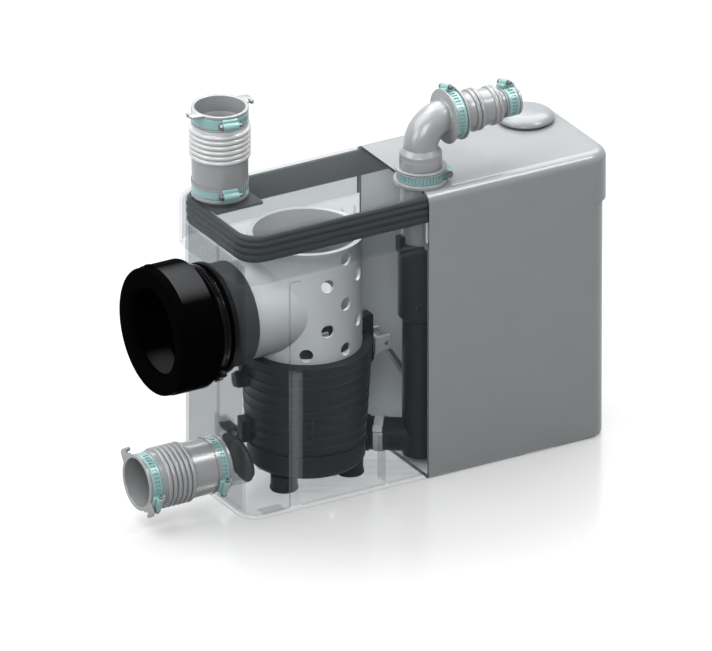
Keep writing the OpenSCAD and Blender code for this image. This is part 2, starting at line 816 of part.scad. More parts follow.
// The upright pipe with its valve chamber, its leg to the pump and the catch that holds the riser.
module discharge_pipe() {
    color(charcoal_c) difference() {
        union() {
            translate([pipe_x, pipe_y, pipe_z]) cylinder(r = pipe_r, h = chamber_z - pipe_z);
            translate([pipe_x, pipe_y, chamber_z - 4]) cylinder(r1 = pipe_r, r2 = chamber_r, h = 4);
            translate([pipe_x, pipe_y, chamber_z]) cylinder(r = chamber_r, h = chamber_top - chamber_z);
            along_leg(leg_start) cylinder(r = leg_r, h = leg_len - leg_start);
            along_leg(leg_start) cylinder(r = leg_r + 1.4, h = 3);
            translate([pipe_x - chamber_r - hook_t, pipe_y - hook_y / 2, chamber_top - 9])
                cube([hook_t + 2.6, hook_y, socket_h]);
        }
        along_leg(leg_start - 1) cylinder(r = leg_bore, h = leg_len - leg_start + 1);
        translate([pipe_x, pipe_y, pipe_z + 3.2])
            cylinder(r = pipe_bore, h = seat_z - seat_t - pipe_z - 3.2);
        translate([pipe_x, pipe_y, seat_z - seat_t - 1]) cylinder(r = flap_port_r, h = seat_t + 2);
        translate([pipe_x, pipe_y, seat_z]) cylinder(r = chamber_bore, h = riser_z - seat_z - 2);
        translate([pipe_x, pipe_y, riser_z - 3]) cylinder(r = riser_bore, h = 4);
        translate([pipe_x, pipe_y, riser_z]) cylinder(r = socket_r, h = 2 * socket_h);
        along_y(check_x, pipe_y - chamber_r, check_z)
            cylinder(r = check_pin_r + run_gap, h = 2 * chamber_r);
    }
}

seat_t = 4.8;
flap_port_r = 11.5;
check_pin_r = 1.5;
check_x = pipe_x - 12.6;
check_z = seat_z + 4;
check_disc_r = 14;

// A disc over the seat's port, with a boss on top and an arm to its hinge.
module check_flap() {
    knuckle_r = 3;
    knuckle_l = 14;
    disc_x = pipe_x + 1.5;
    arm_w = 10;
    color(charcoal_c) difference() {
        union() {
            translate([disc_x, pipe_y, seat_z + soft_gap]) cylinder(r = check_disc_r, h = 3);
            along_y(check_x, pipe_y - knuckle_l / 2, check_z) cylinder(r = knuckle_r, h = knuckle_l);
            translate([check_x, pipe_y - arm_w / 2, check_z - 0.6]) cube([disc_x - check_x, arm_w, 3]);
            translate([disc_x, pipe_y, seat_z + 2]) cylinder(r = 6, h = 4.4);
        }
        along_y(check_x, pipe_y - knuckle_l / 2 - 1, check_z)
            cylinder(r = check_pin_r + run_gap, h = knuckle_l + 2);
    }
}

module check_pin() {
    pin_l = 31;
    color(steel_c) along_y(check_x, pipe_y - pin_l / 2, check_z) cylinder(r = check_pin_r, h = pin_l);
}

// The riser carries two flanges above the lid, with its clip between them.
riser_top = case_h + 16;
riser_seat_r = riser_r + 2.4;
flange_t = 4;
top_flange_t = 3.5;

module riser() {
    color(light_c) translate([pipe_x, pipe_y, 0]) difference() {
        union() {
            translate([0, 0, riser_z]) cylinder(r = riser_r, h = case_h - riser_z + 1);
            translate([0, 0, case_h]) cylinder(r = riser_seat_r + 4.3, h = flange_t);
            translate([0, 0, case_h + flange_t - 1])
                cylinder(r = riser_seat_r, h = riser_top - case_h - flange_t);
            translate([0, 0, riser_top - top_flange_t]) difference() {
                cylinder(r = riser_seat_r + 2.9, h = top_flange_t);
                translate([0, 0, top_flange_t / 2 - 0.3]) ring(riser_seat_r + 4, riser_seat_r + 2.2, 0.6);
            }
        }
        translate([0, 0, riser_z - 1]) cylinder(r = riser_bore, h = riser_top);
    }
}

elbow_spigot = 26;
bend_z = outlet_z - bend_r;
bend_x = pipe_x + bend_r;
spigot_out = 30;
outlet_flange_r = 27;
outlet_flange_t = 3;
elbow_socket_r = elbow_r + 3.8;
socket_top = riser_top + 11;
spigot_end_r = elbow_r - 0.4;

module elbow_path(r, cap) {
    translate([0, 0, riser_top - elbow_spigot - cap])
        cylinder(r = r, h = bend_z - riser_top + elbow_spigot + cap);
    translate([bend_r, 0, bend_z]) rotate([90, 0, 0]) rotate_extrude(angle = 90, start = 90)
        translate([bend_r, 0]) circle(r);
    translate([bend_r, 0, outlet_z]) rotate([0, 90, 0])
        cylinder(r = r, h = outlet_flange_t + spigot_out + cap);
}

module outlet_elbow() {
    color(light_c) translate([pipe_x, pipe_y, 0]) difference() {
        union() {
            translate([0, 0, riser_top - elbow_spigot])
                cylinder(r = riser_bore - run_gap, h = elbow_spigot + 4);
            translate([0, 0, riser_top]) cylinder(r = elbow_socket_r, h = socket_top - riser_top);
            translate([0, 0, riser_top + 6]) ring(elbow_socket_r + 0.6, elbow_r, 1.6);
            translate([0, 0, socket_top])
                cylinder(r1 = elbow_socket_r, r2 = elbow_r, h = elbow_socket_r - elbow_r + 0.8);
            translate([0, 0, socket_top - 1]) cylinder(r = elbow_r, h = bend_z - socket_top + 1);
            translate([bend_r, 0, bend_z]) rotate([90, 0, 0]) rotate_extrude(angle = 90, start = 90)
                translate([bend_r, 0]) circle(elbow_r);
            translate([bend_r, 0, outlet_z]) rotate([0, 90, 0])
                cylinder(r = outlet_flange_r, h = outlet_flange_t);
            translate([bend_r, 0, outlet_z]) rotate([0, 90, 0])
                cylinder(r = spigot_end_r, h = outlet_flange_t + spigot_out);
        }
        elbow_path(elbow_bore, 1);
    }
}

large_seat_r = outlet_flange_r - 4.4;
small_seat_r = outlet_bore + 2.6;
sleeve_flange_t = 2.5;
sleeve_r = elbow_r + 2;
sleeve_mid_r = sleeve_r - 1.2;
step_s = 46;

// Outlet sleeve: distance from the axis, then distance along from the elbow's flange. It runs from the
// large clip's seat over two pairs of ridges to a narrower end with the small clip's seat.
module outlet_sleeve() {
    in_r = spigot_end_r + run_gap;
    end_r = outlet_bore + 3.9;
    color(light_c) along_x(bend_x + outlet_flange_t, pipe_y, outlet_z) rotate_extrude() difference() {
        union() {
            square([outlet_flange_r - 0.7, sleeve_flange_t]);
            square([large_seat_r, clip_w + 5]);
            translate([0, clip_w + 3]) square([outlet_flange_r - 1, 2.2]);
            square([sleeve_r, step_s - 14]);
            for (z = [26, 31]) translate([sleeve_r - 0.2, z]) circle(2.6, $fn = 32);
            translate([0, 25]) square([sleeve_r + 1, 7]);
            square([sleeve_mid_r, step_s]);
            for (z = [1, 5.5]) translate([sleeve_mid_r - 0.8, step_s + z]) circle(2.3, $fn = 32);
            translate([0, step_s]) square([sleeve_mid_r, 7]);
            translate([0, step_s - 1]) square([small_seat_r, outlet_l - step_s]);
            translate([0, outlet_l - clip_w - 5]) square([end_r, 2]);
            translate([0, outlet_l - 2.4]) square([end_r, 2.4]);
        }
        translate([-big, -1]) square([big + in_r, spigot_out + 6]);
        translate([-big, spigot_out + 4]) square([big + outlet_bore + 1.4, 14]);
        translate([-big, spigot_out + 10]) square([big + outlet_bore, big]);
    }
}

// Hose clips

clip_screw_r = 2;
housing_r = 3.4;
housing_l = 16;
clip_gap = 0.5;

// A worm-drive clip round the Z axis, its screw housing at the given angle.
module hose_clip(r, angle) {
    slots = 11;
    inner = r + run_gap;
    outer = inner + clip_t;
    color(teal_c) rotate([0, 0, angle]) difference() {
        union() {
            ring(outer, inner, clip_w);
            rotate([0, 0, -14]) ring_piece(outer + clip_t, outer - eps, clip_w - 1, 28);
            translate([outer, -housing_l / 2, 0.5]) cube([housing_r + 1, housing_l, clip_w - 1]);
            translate([outer + housing_r, -housing_l / 2, clip_w / 2]) rotate([-90, 0, 0])
                cylinder(r = housing_r, h = housing_l);
        }
        for (i = [1:slots]) rotate([0, 0, 16 + i * 9]) translate([outer - 0.45, -0.7, 1.4])
            cube([2, 1.4, clip_w - 2.8]);
        translate([outer + housing_r, -housing_l / 2 - 1, clip_w / 2]) rotate([-90, 0, 0])
            cylinder(r = clip_screw_r + run_gap, h = housing_l + 2);
    }
}

module ring_piece(r_out, r_in, h, a) {
    translate([0, 0, 0.5]) rotate_extrude(angle = a) translate([r_in, 0]) square([r_out - r_in, h]);
}

// The clip's screw, with a slotted head at one end.
module clip_screw(r, angle) {
    out = r + run_gap + clip_t + housing_r;
    head_h = 3.2;
    head_z = -housing_l / 2 - head_h - 0.3;
    rotate([0, 0, angle]) translate([out, 0, clip_w / 2]) rotate([-90, 0, 0]) difference() {
        union() {
            translate([0, 0, head_z]) cylinder(r = clip_screw_r, h = housing_l + head_h + 1.5);
            translate([0, 0, head_z]) cylinder(r = clip_screw_r + 1.1, h = head_h);
        }
        translate([-4, -0.5, head_z - 0.5]) cube([8, 1, head_h / 2]);
    }
}

// Places for clips, as modules so that a clip and its screw share one.
module at_top_low() { translate([top_x, top_y, case_h + rim_l + clip_gap]) children(); }
module at_top_high() {
    translate([top_x, top_y, case_h + sleeve_l - clip_w - rim_l - clip_gap]) children();
}
module at_side_inner() { against_x(end_x - rim_l - clip_gap, side_y, side_z) children(); }
module at_side_outer() {
    against_x(end_x - sleeve_l + clip_w + rim_l + clip_gap, side_y, side_z) children();
}
module at_outlet_large() {
    along_x(bend_x + outlet_flange_t + sleeve_flange_t + clip_gap / 2, pipe_y, outlet_z) children();
}
module at_outlet_small() {
    along_x(bend_x + outlet_flange_t + outlet_l - clip_w - 2.7, pipe_y, outlet_z) children();
}
module at_riser() { translate([pipe_x, pipe_y, case_h + flange_t + clip_gap / 2]) children(); }
module at_leg() { along_leg(leg_start + 8) children(); }

// Angles of the clips' screw housings, each in its clip's own plane
top_clip_a = -100;
side_clip_a = -114;
outlet_clip_a = 162;
riser_clip_a = -22;
leg_clip_a = 235;
sleeve_seat = sleeve_bore + sleeve_t - 0.9;

module top_clip_lower() { at_top_low() hose_clip(sleeve_seat, top_clip_a); }
module top_clip_upper() { at_top_high() hose_clip(sleeve_seat, top_clip_a); }
module side_clip_inner() { at_side_inner() hose_clip(sleeve_seat, side_clip_a); }
module side_clip_outer() { at_side_outer() hose_clip(sleeve_seat, side_clip_a); }
module outlet_clip_large() { at_outlet_large() hose_clip(large_seat_r, outlet_clip_a); }
module outlet_clip_small() { at_outlet_small() hose_clip(small_seat_r, outlet_clip_a); }
module riser_clip() { at_riser() hose_clip(riser_seat_r, riser_clip_a); }

// The snap clip on the leg, with its grip.
module pipe_clip() {
    r = leg_r + run_gap;
    grip_l = 7;
    grip_w = 6;
    color(light_c) at_leg() union() {
        ring(r + clip_t, r, clip_w + 1);
        rotate([0, 0, leg_clip_a]) translate([r + clip_t / 2, -grip_w / 2, 0])
            cube([grip_l, grip_w, clip_w + 1]);
    }
}

module inlet_clip_screws() {
    color(steel_c) {
        at_top_low() clip_screw(sleeve_seat, top_clip_a);
        at_top_high() clip_screw(sleeve_seat, top_clip_a);
        at_side_inner() clip_screw(sleeve_seat, side_clip_a);
        at_side_outer() clip_screw(sleeve_seat, side_clip_a);
    }
}

module outlet_clip_screws() {
    color(steel_c) {
        at_outlet_large() clip_screw(large_seat_r, outlet_clip_a);
        at_outlet_small() clip_screw(small_seat_r, outlet_clip_a);
    }
}

module riser_clip_screw() {
    color(steel_c) at_riser() clip_screw(riser_seat_r, riser_clip_a);
}

// Waste inlets

rim_l = 4;
ear_r = 4.5;
ear_t = 3;

// A sleeve from its seat at 0 to its open end: clip seat, plain length, bellows, clip seat, eared rim.
module inlet_sleeve(ear_angle) {
    out = sleeve_bore + sleeve_t;
    collar = out + 0.8;
    ridge_r = 1.5;
    ridges = 6;
    mid = sleeve_l * 0.636;
    ear_out = out + 2.5;
    union() {
        rotate_extrude() difference() {
            union() {
                square([out + 1.2, rim_l]);
                square([sleeve_seat, sleeve_l]);
                translate([0, clip_w + rim_l + 1]) square([collar, 2]);
                translate([0, clip_w + rim_l + 2]) square([out, sleeve_l - 2 * (clip_w + rim_l + 2)]);
                for (i = [0:ridges - 1])
                    translate([out + 1.3, mid + (i - (ridges - 1) / 2) * bellow_pitch])
                        circle(ridge_r, $fn = 32);
                translate([0, sleeve_l - clip_w - rim_l - 3]) square([collar, 2]);
                translate([0, sleeve_l - rim_l + 0.5]) square([out + 0.6, rim_l - 0.5]);
            }
            translate([-1, -1]) square([sleeve_bore + 1, big]);
        }
        for (a = [0, 180]) rotate([0, 0, ear_angle + a]) translate([0, 0, sleeve_l - ear_t]) {
            translate([out - 1, -ear_r, 0]) cube([ear_out - out + 1, 2 * ear_r, ear_t]);
            translate([ear_out, 0, 0]) cylinder(r = ear_r, h = ear_t);
        }
        translate([0, 0, spigot_l + 1]) ring(sleeve_bore + 1, sleeve_bore - 1.4, 6);
    }
}

module side_sleeve() {
    color(light_c) against_x(end_x, side_y, side_z) inlet_sleeve(45);
}

module top_sleeve() {
    color(light_c) translate([top_x, top_y, case_h]) inlet_sleeve(8);
}

// A rubber pad under the lid, round the top inlet, clear of the gasket.
module top_inlet_pad() {
    pad_t = 3;
    pad_over = 8;
    pad_left = -spigot_bore - 1;
    pad_front = -spigot_bore - pad_over - 3;
    pad_back = inner_w / 2 + lid_y - leg_in - inner_leg_t - pad_over - top_y;
    color(rubber_c) translate([top_x, top_y, lid_under - pad_t]) difference() {
        translate([pad_left, pad_front, 0])
            cube([spigot_bore + pad_over - pad_left, pad_back - pad_front, pad_t]);
        translate([0, 0, -1]) cylinder(r = spigot_bore, h = pad_t + 2);
    }
}

// Flap valve inside the side inlet. The seat leans so that the flap closes by its own weight.
flap_x = end_x + wall + 4.5;
flap_z = side_z + 34;
flap_lean = 14;
flap_pin_r = 2;
flap_pin_x = flap_x + 2;
flap_t = 3;
flap_rubber_t = 2;
flap_ear_t = 4;
flap_ear_y = 10;
nozzle_r = spigot_bore + 4;
flap_disc_r = nozzle_r + 1;
flap_drop = (flap_z - side_z) / cos(flap_lean);
hinge_l = 17.4;
seat_face = 3;

// The flap's own plane: origin at the hinge pin, +X out of the seat, -Z down the slope.
module at_flap() {
    translate([flap_x, side_y, flap_z]) rotate([0, -flap_lean, 0]) children();
}

// The nozzle with its slanting face, and the ribbed hinge block over it.
module flap_seat() {
    nozzle_l = 32;
    plate_t = 2.4;
    ear_l = 11;
    ear_h = 14;
    block_w = 2 * (flap_ear_y + flap_ear_t);
    color(charcoal_c) difference() {
        union() {
            along_x(end_x + wall, side_y, side_z) cylinder(r = nozzle_r, h = nozzle_l);
            translate([end_x + wall, side_y - block_w / 2, flap_z - 10]) cube([plate_t, block_w, 22]);
            for (y = [-flap_ear_y - flap_ear_t, flap_ear_y]) translate([end_x + wall, side_y + y, flap_z - 7])
                cube([ear_l, flap_ear_t, ear_h]);
            for (y = [-7.5, -1.5, 4.5]) translate([end_x + wall, side_y + y, flap_z + 5.5])
                cube([ear_l - 2, 3, 6.5]);
        }
        along_x(end_x, side_y, side_z) cylinder(r = spigot_bore, h = 2 * nozzle_l);
        at_flap() translate([seat_face, -big / 2, -big - 8]) cube([big, big, big]);
        at_flap() translate([seat_face, -flap_ear_y + 0.5, -20]) cube([big, 2 * flap_ear_y - 1, 25]);
        along_y(flap_pin_x, side_y - block_w, flap_z) cylinder(r = flap_pin_r + run_gap, h = 2 * block_w);
    }
}

module flap_pin() {
    pin_l = 28;
    color(steel_c) along_y(flap_pin_x, side_y - pin_l / 2, flap_z) cylinder(r = flap_pin_r, h = pin_l);
}

// The flap's plate with its strap and knuckle.
module inlet_flap() {
    strap_w = 14;
    back = seat_face + soft_gap + flap_rubber_t;
    color(grey_c) difference() {
        union() {
            at_flap() translate([back, 0, -flap_drop]) rotate([0, 90, 0])
                cylinder(r = flap_disc_r - 2, h = flap_t);
            at_flap() translate([back, -strap_w / 2, -flap_drop]) cube([flap_t, strap_w, flap_drop]);
            at_flap() translate([2, -strap_w / 2, -3]) cube([back + flap_t - 2, strap_w, 6]);
            for (y = [-12, 12]) at_flap() translate([back + flap_t - 1, y - 1.2, -flap_drop - 16])
                cube([2.5, 2.4, 32]);
            along_y(flap_pin_x, side_y - hinge_l / 2, flap_z) cylinder(r = 3.6, h = hinge_l);
        }
        along_y(flap_pin_x, side_y - hinge_l, flap_z) cylinder(r = flap_pin_r + run_gap, h = 2 * hinge_l);
    }
}

module flap_rubber() {
    color(rubber_c) at_flap() translate([seat_face + soft_gap, 0, -flap_drop]) rotate([0, 90, 0])
        cylinder(r = flap_disc_r, h = flap_rubber_t);
}

// Level float

float_pin_r = 2;
float_pin_y = 3;
bracket_ear_t = 4;
bracket_ear_y = 9;

// A plate on the housing's lug, with two ears for the arm's pin.
module float_bracket() {
    plate_t = 6;
    plate_h = 16;
    ear_h = 14;
    ear_l = float_pin_x + 5 - pump_x - lug_r;
    full_w = 2 * (bracket_ear_y + bracket_ear_t);
    color(light_c) difference() {
        union() {
            translate([pump_x + lug_r, float_pin_y - full_w / 2, float_pin_z - 10])
                cube([plate_t, full_w, plate_h]);
            for (y = [-bracket_ear_y - bracket_ear_t, bracket_ear_y])
                translate([pump_x + lug_r, float_pin_y + y, float_pin_z - 7])
                    cube([ear_l, bracket_ear_t, ear_h]);
        }
        along_y(float_pin_x, float_pin_y - full_w, float_pin_z)
            cylinder(r = float_pin_r + run_gap, h = 2 * full_w);
    }
}

module float_pin() {
    pin_l = 28;
    color(steel_c) along_y(float_pin_x, float_pin_y - pin_l / 2, float_pin_z)
        cylinder(r = float_pin_r, h = pin_l);
}

// How far the float's middle lies behind the arm's, clear of the discharge pipe
float_shift = 5;
// Distance from the pin to the flat face where the float meets its arm
float_face = arm_l - float_r + 1.6;

module at_float() {
    translate([float_pin_x, float_pin_y, float_pin_z]) rotate([0, arm_slope, 0]) children();
}

// A flat arm with a knuckle at the pin, a stiffening rib and a foot for the float.
module float_arm() {
    arm_w = 14;
    arm_t = 3;
    knuckle_l = 17.2;
    foot_l = 6;
    foot_w = 18;
    foot_h = 10;
    color(grey_c) at_float() difference() {
        union() {
            translate([0, -knuckle_l / 2, 0]) rotate([-90, 0, 0]) cylinder(r = 5, h = knuckle_l);
            translate([0, -arm_w / 2, -arm_t / 2]) cube([float_face - 1, arm_w, arm_t]);
            translate([8, -1.2, arm_t / 2 - 1]) cube([float_face - 12, 2.4, 3]);
            translate([float_face - foot_l, -foot_w / 2, -foot_h / 2]) cube([foot_l, foot_w, foot_h]);
        }
        translate([0, -knuckle_l, 0]) rotate([-90, 0, 0])
            cylinder(r = float_pin_r + run_gap, h = 2 * knuckle_l);
    }
}

module level_float() {
    color(charcoal_c) at_float() intersection() {
        translate([arm_l, float_shift - float_l / 2, 0]) rotate([-90, 0, 0])
            cylinder(r = float_r, h = float_l);
        translate([float_face, -big / 2, -big / 2]) cube(big);
    }
}

// Terminal box in the dry corner of the tank

box_l = 70;
box_w = 76;
box_h = 62;
box_x = tank_l / 2 - wall - box_l;
box_z = 168;
box_t = 2.5;
box_lid_t = 3;

module terminal_box() {
    color(charcoal_c) difference() {
        translate([box_x, -box_w / 2, box_z]) cube([box_l, box_w, box_h]);
        translate([box_x + box_t, box_t - box_w / 2, box_z + box_t])
            cube([box_l - 2 * box_t, box_w - 2 * box_t, box_h]);
        along_y(gland_x, box_w / 2 - box_t - 1, gland_z) cylinder(r = gland_bore + 1, h = box_t + 2);
    }
}

module terminal_box_lid() {
    color(charcoal_c) union() {
        translate([box_x, -box_w / 2, box_z + box_h]) cube([box_l, box_w, box_lid_t]);
        translate([box_x + 8, 8 - box_w / 2, box_z + box_h + box_lid_t - 1])
            cube([box_l - 16, box_w - 16, 2]);
    }
}

// The motor's run capacitor, lying on the box's floor.
module capacitor() {
    cap_r = 15;
    cap_l = box_l - 2 * box_t - 13;
    color(light_c) along_x(box_x + box_t + 3.5, -cap_r + 1, box_z + box_t + cap_r) union() {
        cylinder(r = cap_r, h = cap_l);
        translate([0, 0, cap_l - 1]) cylinder(r = cap_r / 3, h = 4);
    }
}

gland_bore = 3.6;

// The body that joins box and wall, its hexagon and its cap.
module cable_gland() {
    out_y = tank_w / 2;
    hex_t = 6;
    cap_h = 8;
    color(charcoal_c) difference() {
        union() {
            along_y(gland_x, box_w / 2, gland_z) cylinder(r = gland_r, h = out_y - box_w / 2 + hex_t + 6);
            along_y(gland_x, out_y, gland_z) cylinder(r = gland_r + 4, h = hex_t, $fn = 6);
            along_y(gland_x, out_y + hex_t, gland_z) cylinder(r = gland_r + 2, h = cap_h);
        }
        along_y(gland_x, 0, gland_z) cylinder(r = gland_bore, h = out_y + 2 * box_w);
    }
}

tank_clear();
tank_grey();
lid_clear();
lid_grey();
rim_gasket();
vent_cap();
vent_filter();
strainer_basket();
inlet_collar();
wc_boot();
boot_band();
pump_body();
volute_case();
pump_feet();
housing_screws();
drain_screw();
stator();
windings();
upper_bearing();
lower_bearing();
upper_seal();
lower_seal();
cutter_blades();
cutter_nut();
motor_shaft();
rotor();
impeller();
discharge_pipe();
pipe_clip();
check_flap();
check_pin();
riser();
riser_clip();
outlet_elbow();
outlet_sleeve();
outlet_clip_large();
outlet_clip_small();
outlet_clip_screws();
side_sleeve();
side_clip_inner();
side_clip_outer();
top_sleeve();
top_clip_lower();
top_clip_upper();
inlet_clip_screws();
riser_clip_screw();
flap_seat();
inlet_flap();
flap_rubber();
flap_pin();
top_inlet_pad();
float_bracket();
float_pin();
float_arm();
level_float();
terminal_box();
terminal_box_lid();
capacitor();
cable_gland();
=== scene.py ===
"""Looks for a slim macerator toilet pump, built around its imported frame.

The case is half clear and half grey, so that the strainer, the cutter pump and the pipework show.
Every piece keeps the place and the size that the frame gives it. Sizes are in millimetres and
angles in degrees, unless a line says otherwise.
"""

import json
import logging
import math
from dataclasses import dataclass, field
from enum import Enum
from typing import Callable

import bpy
from mathutils import Matrix, Vector


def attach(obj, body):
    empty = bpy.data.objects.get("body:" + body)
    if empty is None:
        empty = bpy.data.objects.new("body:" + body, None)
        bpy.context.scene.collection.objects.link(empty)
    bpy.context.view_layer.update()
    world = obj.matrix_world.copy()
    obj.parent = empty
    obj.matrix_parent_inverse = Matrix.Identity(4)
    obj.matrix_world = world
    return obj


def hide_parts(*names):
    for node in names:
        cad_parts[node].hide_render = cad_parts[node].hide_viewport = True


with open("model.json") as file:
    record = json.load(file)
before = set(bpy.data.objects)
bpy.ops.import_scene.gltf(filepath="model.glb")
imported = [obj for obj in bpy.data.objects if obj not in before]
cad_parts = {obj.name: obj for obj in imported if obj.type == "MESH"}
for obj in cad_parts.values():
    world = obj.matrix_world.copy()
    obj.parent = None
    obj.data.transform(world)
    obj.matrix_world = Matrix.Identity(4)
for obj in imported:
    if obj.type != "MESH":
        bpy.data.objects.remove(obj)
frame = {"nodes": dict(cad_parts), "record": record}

log = logging.getLogger("macerator")
MM = 0.001
# Points closer than this, in metres, are merged: in a drawn line, a spun piece and a looped one.
LINE_MERGE, SPIN_MERGE, LOOP_MERGE = 1e-7, 1e-6, 2e-6
WHITE = (1, 1, 1, 1)
Point = tuple[float, float, float]
Colour = tuple[float, float, float]
Box = tuple[Point, Point]
Outline = list[tuple[float, float]]
Socket = bpy.types.NodeSocket
Node = bpy.types.Node
Tree = bpy.types.NodeTree
Piece = bpy.types.Object
Face = bpy.types.MeshPolygon
EVERYWHERE: Box = ((-1000.0, -1000.0, -1000.0), (1000.0, 1000.0, 1000.0))


class Slot(Enum):
    """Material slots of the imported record."""

    CLEAR = "clear_shell"
    SHELL = "grey_shell"
    GASKET = "gasket_rubber"
    BOOT = "boot_rubber"
    PUMP = "pump_plastic"
    STRAINER = "strainer_plastic"
    SLEEVE = "sleeve_plastic"
    CLIP = "clip_teal"
    STEEL = "steel"
    IRON = "lamination"
    FOAM = "filter_foam"
    COPPER = "copper_wire"


class Graph:
    """A node tree that is built up one node at a time."""

    def __init__(self, tree: Tree) -> None:
        """Starts on an existing tree."""
        self.tree = tree

    def feed(self, socket: Socket, value: object) -> None:
        """Links a socket to another one, or sets it to a plain value.

        Args:
            socket: The input.
            value: An output to link it to, or the value.
        """
        if isinstance(value, Socket):
            self.tree.links.new(value, socket)
        else:
            socket.default_value = value

    def wire(self, node: Node, *inputs: object, **settings: object) -> Node:
        """Sets a node's properties and inputs.

        Args:
            node: The node.
            inputs: Its first inputs, in order.
            settings: Properties by name, and inputs by name with spaces as underscores.

        Returns:
            The same node.
        """
        for name, value in settings.items():
            socket = node.inputs.get(name.replace("_", " "))
            if socket is None:
                setattr(node, name, value)
            else:
                self.feed(socket, value)
        for socket, value in zip(node.inputs, inputs):
            self.feed(socket, value)
        return node

    def add(self, kind: str, *inputs: object, **settings: object) -> Node:
        """Adds a node, by its type without the ShaderNode prefix, and wires it."""
        return self.wire(self.tree.nodes.new("ShaderNode" + kind), *inputs, **settings)

    def out(self, kind: str, *inputs: object, **settings: object) -> Socket:
        """Adds a node and gives its first output."""
        return self.add(kind, *inputs, **settings).outputs[0]

    def math(self, operation: str, a: object, b: object) -> Socket:
        """Adds a math node for two numbers or sockets, and gives its result."""
        return self.out("Math", a, b, operation=operation)

    def ranged(self, value: Socket, low: float, high: float, **settings: object) -> Socket:
        """Maps a value from 0 and 1, or from the ends in the settings, to a low and a high end."""
        return self.out("MapRange", Value=value, To_Min=low, To_Max=high, **settings)

    def show(self, shader: Socket, output: str = "Material Output") -> None:
        """Links a shader to the tree's output."""
        self.feed(self.tree.nodes[output].inputs["Surface"], shader)


def new_group(name: str, inputs: dict[str, float],
              *outputs: str) -> tuple[Graph, dict[str, Socket], Node]:
    """Starts a shader node group of numbers.

    Args:
        name: The group's name.
        inputs: Each input with its default value.
        outputs: The name of each output.

    Returns:
        The group's graph, its input sockets by name, and the node that takes its outputs.
    """
    tree = bpy.data.node_groups.new(name, "ShaderNodeTree")
    for label, value in inputs.items():
        socket = tree.interface.new_socket(name=label, in_out="INPUT", socket_type="NodeSocketFloat")
        socket.default_value = value
    for label in outputs:
        tree.interface.new_socket(name=label, in_out="OUTPUT", socket_type="NodeSocketFloat")
    given = {socket.name: socket for socket in tree.nodes.new("NodeGroupInput").outputs}
    return Graph(tree), given, tree.nodes.new("NodeGroupOutput")


def moulded_grain() -> Tree:
    """Fine moulding texture: a blotchy tone, a fine grain, and a height for bump.

    Returns:
        The node group.
    """
    graph, given, made = new_group("moulded_grain", {"Grain Scale": 900.0}, "Tone", "Grain", "Height")
    place = graph.add("TexCoord").outputs["Object"]
    blotch = graph.out("TexNoise", Vector=place, Scale=30.0, Detail=3.0, Roughness=0.55)
    grain = graph.out("TexNoise", Vector=place, Scale=given["Grain Scale"], Detail=2.0, Roughness=0.6)
    height = graph.math("ADD", grain, graph.math("MULTIPLY", blotch, 0.5))
    graph.wire(made, Tone=blotch, Grain=grain, Height=height)
    return graph.tree


def brushed_lines() -> Tree:
    """Fine turned lines that run across the height, for machined and rolled metal.

    Returns:
        The node group.
    """
    graph, _, made = new_group("brushed_lines", {}, "Lines")
    place = graph.add("TexCoord").outputs["Object"]
    squeezed = graph.out("VectorMath", place, (1.0, 1.0, 40.0), operation="MULTIPLY")
    graph.wire(made, Lines=graph.out("TexNoise", Vector=squeezed, Scale=40.0, Detail=2.0))
    return graph.tree


def facing_way() -> Tree:
    """A mask of the faces that look one way, broken up a little, for a painted sheen and a painted shade.

    Returns:
        The node group.
    """
    defaults = {"X": 0.0, "Y": 0.0, "Z": 1.0, "Start": 0.0, "End": 1.0}
    graph, given, made = new_group("facing_way", defaults, "Mask")
    place = graph.add("TexCoord").outputs
    way = graph.out("CombineXYZ", X=given["X"], Y=given["Y"], Z=given["Z"])
    facing = graph.add("VectorMath", place["Normal"], way, operation="DOT_PRODUCT").outputs["Value"]
    share = graph.ranged(facing, 0.0, 1.0, interpolation_type="SMOOTHSTEP",
                         From_Min=given["Start"], From_Max=given["End"])
    patchy = graph.out("TexNoise", Vector=place["Object"], Scale=45.0, Detail=3.0)
    graph.wire(made, Mask=graph.math("MULTIPLY", share, graph.ranged(patchy, 0.75, 1.1)))
    return graph.tree


def inside_box() -> Tree:
    """A mask of what lies inside a box.

    Returns:
        The node group.
    """
    defaults = {f"{end} {axis}": at for axis in "XYZ" for end, at in (("Low", -1.0), ("High", 1.0))}
    graph, given, made = new_group("inside_box", defaults, "Mask")
    split = graph.add("SeparateXYZ", graph.add("TexCoord").outputs["Object"])
    mask: object = 1.0
    for axis in "XYZ":
        over = graph.math("GREATER_THAN", split.outputs[axis], given["Low " + axis])
        under = graph.math("LESS_THAN", split.outputs[axis], given["High " + axis])
        mask = graph.math("MULTIPLY", graph.math("MULTIPLY", over, under), mask)
    graph.wire(made, Mask=mask)
    return graph.tree


GRAIN = moulded_grain()
LINES = brushed_lines()
FACING = facing_way()
INSIDE = inside_box()


def box_mask(graph: Graph, box: Box) -> Socket:
    """Gives a mask that is one inside a box, from its lowest and its highest corner."""
    ends = {f"{end}_{axis}": at * MM
            for end, corner in zip(("Low", "High"), box) for axis, at in zip("XYZ", corner)}
    return graph.out("Group", node_tree=INSIDE, **ends)


def ray_mask(graph: Graph, *kinds: str) -> Socket:
    """Gives a mask of the rays of some kinds.

    Args:
        graph: The material's or the world's graph.
        kinds: Their kinds, such as Camera and Glossy.

    Returns:
        The mask's socket.
    """
    path = graph.add("LightPath").outputs
    mask = path[f"Is {kinds[0]} Ray"]
    for kind in kinds[1:]:
        mask = graph.math("MAXIMUM", mask, path[f"Is {kind} Ray"])
    return mask


